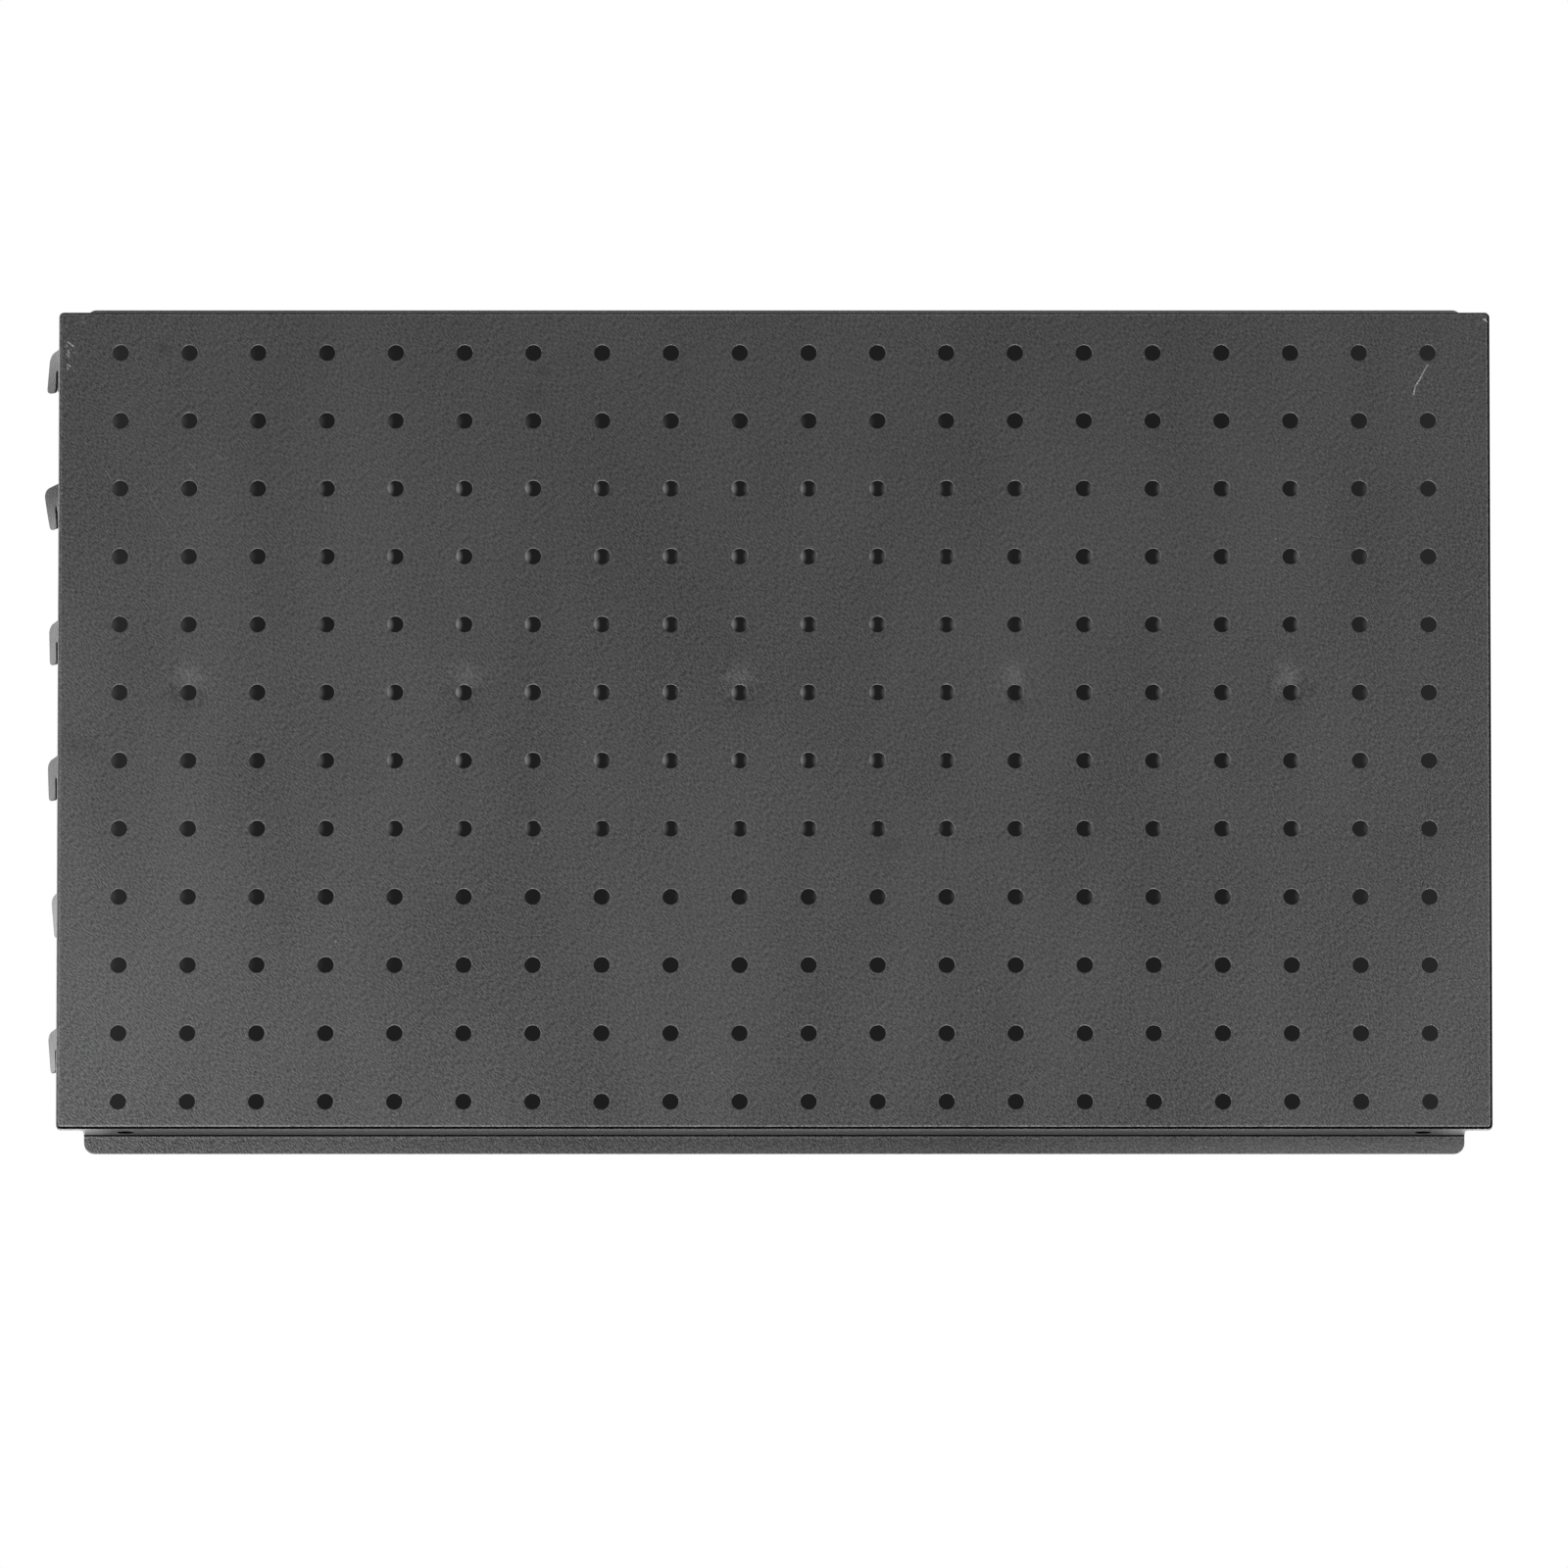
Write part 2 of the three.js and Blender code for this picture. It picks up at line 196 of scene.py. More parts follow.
PATCH_STRENGTH = 0.6
SPECKLE_SCALE = 900.0
SCUFF_WIDTH = 0.38
SCUFF_STRENGTH = (1.3, 3.4)
SCRATCH_WIDTH = 0.2
SCRATCH_STRENGTH = 0.45
BREAK_SCALE = 420.0
STROKE_CORE = 0.25
DUST_SCALE = 520.0
DUST_STRENGTH = 0.5

# The painted highlight above and the painted shade below each dimple: height over the row of holes,
# radius, strength
DIMPLE_PAINTED_HIGHLIGHT = (6.5, 7.0, 0.14)
DIMPLE_PAINTED_SHADE = (-5.5, 7.5, 0.4)
SPOT_SOFTNESS = 0.95

# Bands of painted shade, painted highlight and painted light on the sheet: where each starts, is full,
# fades and ends
FOLD_SHADE_LINE = (0.14, 0.27, 1.0, 1.4)
FOLD_HIGHLIGHT = (0.0, 0.03, 0.16, 0.3)
CORNER_SHADE_LINE = (14.0, 16.4, 18.8, 18.98)
CORNER_SHADE = (4.0, 16.0, 18.75, 18.97)
FLANGE_END_LIGHT = (1.2, 2.2, 16.0, 18.0)
LIP_HIGHLIGHT = (1.9, 2.1, 2.4, 2.8)
LINE_BLUR = 0.2
LEFT_FOLD_STRENGTH = 0.35
TOP_FOLD_STRENGTH = 0.12
CORNER_SHADE_STRENGTH = 0.4
SIDE_HIGHLIGHT_STRENGTH = 0.45
LOWER_LIP_LIGHT = (0.05, 0.24)

# How far a full mask changes the coat's tone or roughness
SMUDGE_AND_SHADE_TONE = 0.42
SMUDGE_AND_SHADE_ROUGHNESS = 0.16
WEAR_AND_HIGHLIGHT_TONE = 3.2
PAINTED_LIGHT_TONE = 3.4
HIGHLIGHT_TONE = 2.0
PAINTED_SHADE_TONE = 0.95


# ---------------- studio values, in metres

VIEW_WIDTH = 0.5685
CAMERA_DISTANCE = 10.0
CAMERA_ELEVATION = -9.0
AIM = Vector((0.00355, 0.0, -0.02375))
SENSOR = 36.0
WORLD_LIGHT = 0.29
FLOOR_Z = -2.6
FLOOR_SIZE = 60.0
FLOOR_GREY = 0.82
CARD_ROUGHNESS = 0.9
FLAG_X = 0.78
FLAG_FRONT = -0.35
FLAG_BACK = 0.6
FLAG_HALF_HEIGHT = 0.6
FLAG_GREY = 0.02

# Each softbox: name, place, target, size and watts
SOFTBOXES = (
    ("near_left", (-0.45, -0.3, -0.35), (-0.2, 0, -0.12), 0.3, 2.95),
    ("mid_left", (-0.6, -0.35, -0.02), (-0.22, 0, 0), 0.3, 0.95),
    ("near_right", (0.45, -0.3, -0.35), (0.2, 0, -0.12), 0.3, 1.15),
    ("right", (0.9, -0.9, 0.0), (0.1, 0, 0), 0.6, 7.2),
    ("top", (0.0, -0.8, 0.9), (0, 0, 0.1), 0.6, 1.9),
    ("rear_left", (-1.35, 0.62, 0.1), (-0.26, 0.02, 0), 1.6, 24.0),
    ("low_front", (0.0, -0.22, -0.95), (0, 0, -0.15), 0.4, 8.5),
    ("rear_low", (0.0, 1.6, -0.38), (0, 0.01, -0.15), 1.2, 9.0),
)

# The backing card, a glow of painted shade, and the painted light patches on it, in millimetres
CARD_Y = DEPTH + 0.3
CARD_MARGIN = 4.0
CARD_GAP = 0.1
CARD_SHADE_GREYS = (0.0125, 0.021)
SPOT_RISE = CARD_Y * math.tan(math.radians(-CAMERA_ELEVATION))
SPOT_BLUR = 1.5
LEFT_SPOT_SHIFT = 4.95
LEFT_SPOT_STRENGTH = 0.20
LEFT_SPOT_ROWS = (-60, -15, 90, 120)
LEFT_SPOT_COLUMNS = (-190, -120, 20, 95)
RIGHT_SPOT_SHIFT = 5.3
RIGHT_SPOT_STRENGTH = 0.10
RIGHT_SPOT_ROWS = (-85, -30, 80, 116)
RIGHT_SPOT_COLUMNS = (-100, -10, 190, 235)
DIM_SPOT_ROWS = (-120, -50, 120, 150)
DIM_SPOT_STRENGTH = 0.025


# ---------------- sheet-metal skins


class Skin:
    """One side of a bent sheet: points with outward normals, and faces that turn anticlockwise."""

    def __init__(self):
        self.points = []
        self.normals = []
        self.faces = []
        self.named = {}

    def add(self, point, normal):
        self.points.append(Vector(point))
        self.normals.append(Vector(normal).normalized())
        return len(self.points) - 1

    def at(self, key, point, normal):
        """The point stored under this key, made the first time it is asked for."""
        if key not in self.named:
            self.named[key] = self.add(point, normal)
        return self.named[key]

    def face(self, corners):
        kept = [c for i, c in enumerate(corners) if c != corners[i - 1]]
        if len(kept) > 2:
            self.faces.append(kept)


def free_edges(faces):
    """The edges that only one face uses, in that face's direction."""
    used = {}
    for face in faces:
        for start, end in zip(face, face[1:] + face[:1]):
            used[start, end] = True
    return [(start, end) for start, end in used if (end, start) not in used]


def edge_profile(thickness, radius):
    """A sheet's rounded edge as (outwards, inwards) steps from the skin to its far side."""
    turns = spread(0, math.pi / 2, EDGE_STEPS)
    near = [(radius * math.sin(t), radius * (1 - math.cos(t))) for t in turns]
    far = [(out, thickness - depth) for out, depth in reversed(near)]
    return near + far


def thicken(skin, thickness, radius):
    """The closed sheet behind a skin, with rounded free edges."""
    points = [tuple(p) for p in skin.points]
    count = len(points)
    points += [tuple(p - n * thickness) for p, n in zip(skin.points, skin.normals)]
    faces = [list(face) for face in skin.faces]
    faces += [[corner + count for corner in reversed(face)] for face in skin.faces]
    edges = free_edges(skin.faces)
    outward = {}
    for start, end in edges:
        along = (skin.points[end] - skin.points[start]).normalized()
        for corner in (start, end):
            outward.setdefault(corner, []).append(along.cross(skin.normals[corner]).normalized())
    profile = edge_profile(thickness, radius)
    chains = {}
    for corner, ways in outward.items():
        way = sum(ways, Vector())
        way = way / max(0.5, 1 + ways[0].dot(ways[-1])) if len(ways) > 1 else way
        chain = [corner]
        for out, depth in profile[1:-1]:
            spot = skin.points[corner] + way * out - skin.normals[corner] * depth
            points.append(tuple(spot))
            chain.append(len(points) - 1)
        chains[corner] = chain + [corner + count]
    for start, end in edges:
        for step in range(len(profile) - 1):
            first, last = chains[start], chains[end]
            faces.append([last[step], first[step], first[step + 1], last[step + 1]])
    return points, faces


def make_piece(name, points, faces, node, material):
    """A smooth-shaded object, in metres, that stands for a CAD node."""
    mesh = bpy.data.meshes.new(name)
    mesh.from_pydata([[value * MM for value in point] for point in points], [], faces)
    mesh.validate()
    mesh.shade_smooth()
    mesh.materials.append(material)
    piece = bpy.data.objects.new(name, mesh)
    bpy.context.scene.collection.objects.link(piece)
    shading = piece.modifiers.new("flat_faces_stay_flat", "WEIGHTED_NORMAL")
    shading.mode = "FACE_AREA"
    shading.weight = NORMAL_WEIGHT
    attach(piece, "root")
    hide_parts(node)


# ---------------- perforated panel


def column_x(column):
    return (column - (COLUMNS + 1) / 2) * PITCH


def row_z(row):
    return HALF_HEIGHT - TOP_MARGIN - (row - 1) * PITCH


def spread(start, end, steps):
    return [start + (end - start) * step / steps for step in range(steps + 1)]


def face_point(skin, x, z):
    return skin.at(("face", round(x, 3), round(z, 3)), (x, 0, z), (0, -1, 0))


def cell_levels(row):
    """The heights of the grid lines between one row of holes and the next, from the bottom up."""
    flat = HALF_HEIGHT - BEND_RADIUS
    top = flat if row == 1 else row_z(row) + PITCH / 2
    bottom = -flat if row == ROWS else row_z(row) - PITCH / 2
    return spread(bottom, top, CELL_SIDE_STEPS)


def cell_border(column, row):
    """The outline of the square round one hole, anticlockwise from its lower right corner."""
    across = spread(column_x(column) - PITCH / 2, column_x(column) + PITCH / 2, CELL_SIDE_STEPS)
    levels = cell_levels(row)
    right = [(across[-1], z) for z in levels[:-1]]
    top = [(x, levels[-1]) for x in reversed(across[1:])]
    left = [(across[0], z) for z in reversed(levels[1:])]
    bottom = [(x, levels[0]) for x in across[:-1]]
    return right + top + left + bottom


def add_hole_cell(skin, column, row):
    centre_x, centre_z = column_x(column), row_z(row)
    dimpled = row in (DIMPLE_ROW, DIMPLE_ROW - 1) and column in WELD_COLUMNS
    rings = (HOLE_RADIUS + EDGE_RADIUS,) + (DIMPLED_RINGS if dimpled else PLAIN_RINGS)
    loops = []
    for radius in rings:
        loop = []
        for step in range(HOLE_STEPS):
            angle = 2 * math.pi * step / HOLE_STEPS - math.pi / 4
            x = centre_x + radius * math.cos(angle)
            z = centre_z + radius * math.sin(angle)
            loop.append(skin.at(("ring", column, row, radius, step), (x, 0, z), (0, -1, 0)))
        loops.append(loop)
    loops.append([face_point(skin, x, z) for x, z in cell_border(column, row)])
    for inner, outer in zip(loops, loops[1:]):
        join_loops(skin, inner, outer)


def strip_levels(row):
    """The grid heights at the face's side edge, drawn together where the side flange is cut back."""
    levels = cell_levels(row)
    relief = HALF_HEIGHT - SIDE_RELIEF_LENGTH
    fillet = [relief + RELIEF_RADIUS * part for part in RELIEF_LINES]
    if row == 1:
        return [levels[0], (levels[0] + relief) / 2] + fillet + [levels[-1]]
    if row == ROWS:
        return [levels[0]] + [-z for z in reversed(fillet)] + [(levels[-1] - relief) / 2, levels[-1]]
    return levels


def strip_columns():
    """The grid lines between the last holes and the face's side edge, drawn together at the relief."""
    relief = HALF_WIDTH - RELIEF_LENGTH
    fillet = [relief + RELIEF_RADIUS * part for part in RELIEF_LINES]
    return fillet + [HALF_WIDTH - BEND_RADIUS]


def strip_point(skin, side, index, row, level):
    columns = strip_columns()
    share = index / (len(columns) - 1)
    z = (1 - share) * cell_levels(row)[level] + share * strip_levels(row)[level]
    return face_point(skin, side * columns[index], z)


def corner_arc(skin, side, up):
    """The face's rounded corner in its flat part, from the side edge to the top or bottom edge."""
    radius = OUTLINE_RADIUS - BEND_RADIUS
    x = HALF_WIDTH - BEND_RADIUS - radius
    z = HALF_HEIGHT - BEND_RADIUS - radius
    arc = []
    for step, angle in enumerate(spread(0, math.pi / 2, CORNER_STEPS)):
        spot = (side * (x + radius * math.cos(angle)), 0, up * (z + radius * math.sin(angle)))
        arc.append(skin.at(("corner", side, up, step), spot, (0, -1, 0)))
    return arc


def add_side_strip(skin, side):
    """The plain strip of the face beside the last column of holes."""
    last = len(strip_columns()) - 1
    for row in range(1, ROWS + 1):
        for level in range(CELL_SIDE_STEPS):
            for index in range(last):
                low = strip_point(skin, side, index, row, level)
                next_low = strip_point(skin, side, index + 1, row, level)
                next_high = strip_point(skin, side, index + 1, row, level + 1)
                high = strip_point(skin, side, index, row, level + 1)
                corners = [low, next_low, next_high, high]
                top_corner = row == 1 and level == CELL_SIDE_STEPS - 1 and index == last - 1
                bottom_corner = row == ROWS and level == 0 and index == last - 1
                if top_corner:
                    corners = [low, next_low] + corner_arc(skin, side, 1) + [high]
                if bottom_corner:
                    arc = list(reversed(corner_arc(skin, side, -1)))
                    corners = [low] + arc + [next_high, high]
                skin.face(corners if side > 0 else list(reversed(corners)))


def face_outline(skin):
    """The flat face's border, anticlockwise: each entry is (point, outward x, outward z)."""
    edge = len(strip_columns()) - 1
    border = []

    def arc(side, up, backwards):
        points = corner_arc(skin, side, up)
        turns = spread(0, math.pi / 2, CORNER_STEPS)
        entries = [(p, side * math.cos(t), up * math.sin(t)) for p, t in zip(points, turns)]
        border.extend(reversed(entries) if backwards else entries)

    def side_edge(side):
        entries = []
        for row in range(ROWS, 0, -1):
            for level in range(CELL_SIDE_STEPS):
                if row == ROWS and level == 0:
                    continue
                entries.append((strip_point(skin, side, edge, row, level), side, 0))
        border.extend(entries if side > 0 else reversed(entries))

    def level_edge(up):
        z = up * (HALF_HEIGHT - BEND_RADIUS)
        half = PITCH * COLUMNS / 2
        middle = spread(half, -half, COLUMNS * CELL_SIDE_STEPS)
        outer = strip_columns()[1:-1]
        across = list(reversed(outer)) + middle + [-x for x in outer]
        entries = [(face_point(skin, x, z), 0, up) for x in across]
        border.extend(entries if up > 0 else reversed(entries))

    side_edge(1)
    arc(1, 1, False)
    level_edge(1)
    arc(-1, 1, True)
    side_edge(-1)
    arc(-1, -1, False)
    level_edge(-1)
    arc(1, -1, True)
    return border


def add_loop(skin, border, name, depth, out, normal):
    """One more line of points round the whole border, further round the bend or along the rim."""
    return [flange_point(skin, border, index, name, depth, out, normal) for index in range(len(border))]


def join_loops(skin, first, second):
    for index in range(len(first)):
        after = (index + 1) % len(first)
        skin.face([first[index], second[index], second[after], first[after]])


def relief_depth(beyond):
    """How deep the flange is at this distance past the end of its full depth."""
    inside = max(0.0, RELIEF_RADIUS**2 - (RELIEF_RADIUS - beyond) ** 2)
    return RIM_DEPTH + RELIEF_RADIUS - math.sqrt(inside)


def flange_point(skin, border, index, name, depth, out=BEND_RADIUS, normal=(0.0, 1.0)):
    """A point behind the border at this depth; the normal is (its y, its part outwards)."""
    point, way_x, way_z = border[index]
    base = skin.points[point]
    spot = (base.x + way_x * out, depth, base.z + way_z * out)
    turned = (way_x * normal[1], normal[0], way_z * normal[1])
    return skin.at((name, index), spot, turned)


def flange_reach(skin, border, index):
    """(distance along the edge from the middle, its full-depth limit, True on a side flange)."""
    point, way_x, way_z = border[index]
    base = skin.points[point]
    if way_z == 0:
        return abs(base.z), HALF_HEIGHT - SIDE_RELIEF_LENGTH, True
    return abs(base.x), HALF_WIDTH - RELIEF_LENGTH, False


def add_relief_fillet(skin, border, rim, index, after):
    """The small web of flange that rounds the notch at a corner."""
    corners = [rim[index]]
    for spot in (index, after):
        reach, limit, _ = flange_reach(skin, border, spot)
        beyond = reach - limit
        if beyond > RELIEF_RADIUS - TOUCH:
            corners.append(rim[spot])
        elif beyond < TOUCH:
            corners.append(flange_point(skin, border, spot, "row0", RIM_DEPTH + RELIEF_RADIUS))
        else:
            corners.append(flange_point(skin, border, spot, "fillet", relief_depth(beyond)))
    corners.append(rim[after])
    skin.face(corners)


def add_fixing_hole(skin, border, block, centre_x, up):
    """A round hole in a flange, inside a block of grid lines that it replaces."""
    z = up * HALF_HEIGHT
    radius = FIXING_RADIUS + EDGE_RADIUS
    turns = []
    for point in block:
        spot = skin.points[point]
        turns.append(math.atan2(spot.y - FIXING_Y, spot.x - centre_x))
    loop = []
    for index, turn in enumerate(turns):
        gap = (turns[(index + 1) % len(turns)] - turn + math.pi) % (2 * math.pi) - math.pi
        for part in range(FIXING_PARTS):
            angle = turn + gap * part / FIXING_PARTS
            spot = (centre_x + radius * math.cos(angle), FIXING_Y + radius * math.sin(angle), z)
            loop.append(skin.add(spot, (0, 0, up)))
    for index in range(len(block)):
        after = (index + 1) % len(block)
        ring = [loop[(index * FIXING_PARTS + part) % len(loop)] for part in range(FIXING_PARTS + 1)]
        skin.face([block[index], block[after]] + list(reversed(ring)))


def lip_rows():
    """The lip's bend and flat as (name, depth, out, normal) after the flange's flat part."""
    start = DEPTH - SHEET - LIP_BEND_RADIUS
    rows = [("lip0", start, BEND_RADIUS, (0.0, 1.0))]
    for step in range(1, LIP_BEND_STEPS + 1):
        turn = 0.5 * math.pi * step / LIP_BEND_STEPS
        depth = start + LIP_BEND_RADIUS * math.sin(turn)
        out = BEND_RADIUS + LIP_BEND_RADIUS * (1 - math.cos(turn))
        rows.append(("lip%d" % step, depth, out, (-math.sin(turn), math.cos(turn))))
    return rows


def add_lip_flat(skin, border, index, after, up):
    """The lip's flat part between two grid lines, with the free corner rounded at its ends."""
    height = (UPPER_LIP if up > 0 else LOWER_LIP) - EDGE_RADIUS
    free = BEND_RADIUS + height
    depth = DEPTH - SHEET
    facing = (-1.0, 0.0)
    radius = min(LIP_CORNER_RADIUS, height - LIP_BEND_RADIUS - LIP_END_FLAT)
    limit = HALF_WIDTH - RELIEF_LENGTH
    sides = [flange_reach(skin, border, spot)[0] for spot in (index, after)]
    roots = [flange_point(skin, border, s, LIP_ROOT, depth) for s in (index, after)]
    if max(sides) < limit - TOUCH:
        ends = [flange_point(skin, border, s, "free", depth, free, facing) for s in (index, after)]
        skin.face([roots[0], ends[0], ends[1], roots[1]])
        return
    outer_first = sides[0] > sides[1]
    outer, inner = (index, after) if outer_first else (after, index)
    side = 1 if skin.points[border[outer][0]].x > 0 else -1
    arc = []
    for step, turn in enumerate(spread(0, math.pi / 2, LIP_CORNER_STEPS)):
        x = side * (limit - radius * (1 - math.cos(turn)))
        z = up * (HALF_HEIGHT - BEND_RADIUS + free - radius * (1 - math.sin(turn)))
        arc.append(skin.at(("lip_arc", side, up, step), (x, depth, z), (0, -1, 0)))
    inner_free = flange_point(skin, border, inner, "free", depth, free, facing)
    inner_root = flange_point(skin, border, inner, LIP_ROOT, depth)
    outer_root = flange_point(skin, border, outer, LIP_ROOT, depth)
    corners = [outer_root] + arc + [inner_free, inner_root]
    skin.face(corners if outer_first else list(reversed(corners)))


def add_flanges(skin, border, rim):
    """The full-depth flanges behind the rim, with the lips along the top and the bottom."""
    count = len(border)
    blocks = {}
    for index in range(count):
        after = (index + 1) % count
        reach, limit, on_side = flange_reach(skin, border, index)
        reach_after, _, on_side_after = flange_reach(skin, border, after)
        straight = abs(border[index][1]) + abs(border[index][2]) == 1
        if on_side != on_side_after or not straight:
            continue
        if max(reach, reach_after) > limit + RELIEF_RADIUS + TOUCH:
            continue
        if max(reach, reach_after) > limit + TOUCH:
            add_relief_fillet(skin, border, rim, index, after)
            continue
        up = 1 if border[index][2] > 0 else -1
        depths = SIDE_ROWS if on_side else FLANGE_ROWS
        rows = [("row%d" % i, depth, BEND_RADIUS, (0.0, 1.0)) for i, depth in enumerate(depths)]
        if not on_side:
            rows += lip_rows()
        first = (rim[index], rim[after])
        middle = (skin.points[border[index][0]].x + skin.points[border[after][0]].x) / 2
        near_hole = not on_side and abs(abs(middle) - FIXING_X) < FIXING_BLOCK
        for number, (name, depth, out, normal) in enumerate(rows):
            second = tuple(flange_point(skin, border, s, name, depth, out, normal) for s in (index, after))
            if near_hole and number < len(FLANGE_ROWS):
                key = (1 if middle > 0 else -1, up)
                blocks.setdefault(key, []).append((first, second))
            else:
                skin.face([first[0], second[0], second[1], first[1]])
            first = second
        if not on_side:
            add_lip_flat(skin, border, index, after, up)
    for (side, up), quads in blocks.items():
        ring = block_ring(quads)
        add_fixing_hole(skin, border, ring, side * FIXING_X, up)


def block_ring(quads):
    """The outline of a block of grid squares, in the direction that its squares turn."""
    outer = dict(free_edges([[first[0], second[0], second[1], first[1]] for first, second in quads]))
    ring = [next(iter(outer))]
    while outer[ring[-1]] != ring[0]:
        ring.append(outer[ring[-1]])
    return ring


def dimple(x, z):
    """How far a tack weld's heat has drawn the face in at this place."""
    depth = 0.0
    for column in WELD_COLUMNS:
        away = ((x - column_x(column)) ** 2 + (z - row_z(DIMPLE_ROW) - DIMPLE_RISE) ** 2) ** 0.5
        depth += DIMPLE_DEPTH * math.exp(-((away / DIMPLE_RADIUS) ** 2))
    return depth


def press_dimples(skin):
    step = SLOPE_STEP
    for index, point in enumerate(skin.points):
        if point.y > MM or abs(point.z - row_z(DIMPLE_ROW)) > PITCH:
            continue
        slope_x = (dimple(point.x + step, point.z) - dimple(point.x - step, point.z)) / (2 * step)
        slope_z = (dimple(point.x, point.z + step) - dimple(point.x, point.z - step)) / (2 * step)
        point.y += dimple(point.x, point.z)
        skin.normals[index] = Vector((slope_x, -1, slope_z)).normalized()


def panel_skin():
    skin = Skin()
    for row in range(1, ROWS + 1):
        for column in range(1, COLUMNS + 1):
            add_hole_cell(skin, column, row)
    for side in (-1, 1):
        add_side_strip(skin, side)
    border = face_outline(skin)
    loops = [[entry[0] for entry in border]]
    for step in range(1, BEND_STEPS + 1):
        turn = 0.5 * math.pi * step / BEND_STEPS
        depth = BEND_RADIUS * (1 - math.cos(turn))
        out = BEND_RADIUS * math.sin(turn)
        normal = (-math.cos(turn), math.sin(turn))
        loops.append(add_loop(skin, border, "bend%d" % step, depth, out, normal))
    loops.append(add_loop(skin, border, "rim", RIM_DEPTH, BEND_RADIUS, (0.0, 1.0)))
    for first, second in zip(loops, loops[1:]):
        join_loops(skin, first, second)
    add_flanges(skin, border, loops[-1])
    press_dimples(skin)
    return skin


# ---------------- hooks


def hook_bottom(behind):
    """The height of a hook's lower outline this far behind its bend."""
    slot_end = SLOT_START + SLOT_WIDTH
    if behind < HOOK_ROOT_RADIUS - HOOK_ROOT:
        return rounding(HOOK_ROOT_RADIUS - HOOK_ROOT - behind, HOOK_ROOT_RADIUS)
    if behind < slot_end:
        return 0.0
    if behind < slot_end + LEG_RADIUS:
        return rounding(slot_end + LEG_RADIUS - behind, LEG_RADIUS)
    return rounding(behind - HOOK_REACH + LEG_RADIUS, LEG_RADIUS)


def hook_top(behind):
    """The height of a hook's upper outline: root, hollow into the sloping top, rounded shoulder."""
    root = HOOK_HEIGHT + HOOK_RISE
    if behind < HOOK_ROOT_RADIUS - HOOK_ROOT:
        return root - rounding(HOOK_ROOT_RADIUS - HOOK_ROOT - behind, HOOK_ROOT_RADIUS)
    if behind < -HOLLOW_REACH:
        return root
    slope = HOOK_HEIGHT - SHOULDER_DROP * max(0.0, behind - HOLLOW_REACH) / HOOK_REACH
    if behind < HOLLOW_REACH:
        share = (behind + HOLLOW_REACH) / (2 * HOLLOW_REACH)
        return slope + HOOK_RISE * (1 - share) ** 2
    return slope - rounding(behind - HOOK_REACH + SHOULDER_RADIUS, SHOULDER_RADIUS)


def rounding(past, radius):
    """The drop of a rounded corner this far past the start of its curve."""
    past = min(max(past, 0.0), radius)
    return radius - math.sqrt(radius**2 - past**2)


def hook_lines():
    """The distances behind the bend at which a hook's grid has a line."""
    half_turn = spread(0, math.pi, 10)
    half_bend = HOOK_BEND_LENGTH / 2
    quarter = spread(0, math.pi / 2, 6)
    root = [-HOOK_ROOT + HOOK_ROOT_RADIUS * (1 - math.cos(t)) for t in quarter]
    bend = spread(-half_bend, half_bend, 8)
    slot = [SLOT_START + SLOT_WIDTH * (1 - math.cos(t)) / 2 for t in half_turn]
    slot_end = slot[-1]
    leg = [slot_end + LEG_RADIUS * (1 - math.cos(t)) for t in quarter[1:]]
    end = HOOK_REACH - SHOULDER_RADIUS
    shoulder = [end + SHOULDER_RADIUS * math.sin(t) for t in spread(0, math.pi / 2, 12)]
    return root + HOOK_BACK_LINES + bend + HOOK_FRONT_LINES + slot + leg + shoulder


def hook_grid():
    """Rows of heights for each line; the slot's lines have no lower rows."""
    slot_top = SLOT_HEIGHT - SLOT_WIDTH / 2
    columns = []
    for behind in hook_lines():
        across = behind - SLOT_START - SLOT_WIDTH / 2
        in_slot = abs(across) < SLOT_WIDTH / 2 - 1e-6
        arch = math.sqrt(max(0.0, (SLOT_WIDTH / 2) ** 2 - across**2)) if in_slot else 0.0
        lower = [] if in_slot else spread(hook_bottom(behind), slot_top, HOOK_ROWS)[:-1]
        columns.append((behind, lower, spread(slot_top + arch, hook_top(behind), HOOK_ROWS)))
    return columns


def bent_point(behind, height, turn, lean):
    """Where a point of a hook's inner face goes: (outwards, behind the bend)."""
    angle = math.radians(turn)
    angle += math.tan(math.radians(lean)) / (HOOK_REACH * math.cos(angle)) * (height - HOOK_HEIGHT / 2)
    half = HOOK_BEND_LENGTH / 2
    if behind <= -half or abs(angle) < 1e-4:
        return 0.0, behind
    radius = HOOK_BEND_LENGTH / angle
    run = min(behind + half, HOOK_BEND_LENGTH)
    out = radius * (1 - math.cos(run / radius))
    back = radius * math.sin(run / radius) - half
    straight = max(0.0, behind - half)
    return out + straight * math.sin(angle), back + straight * math.cos(angle)


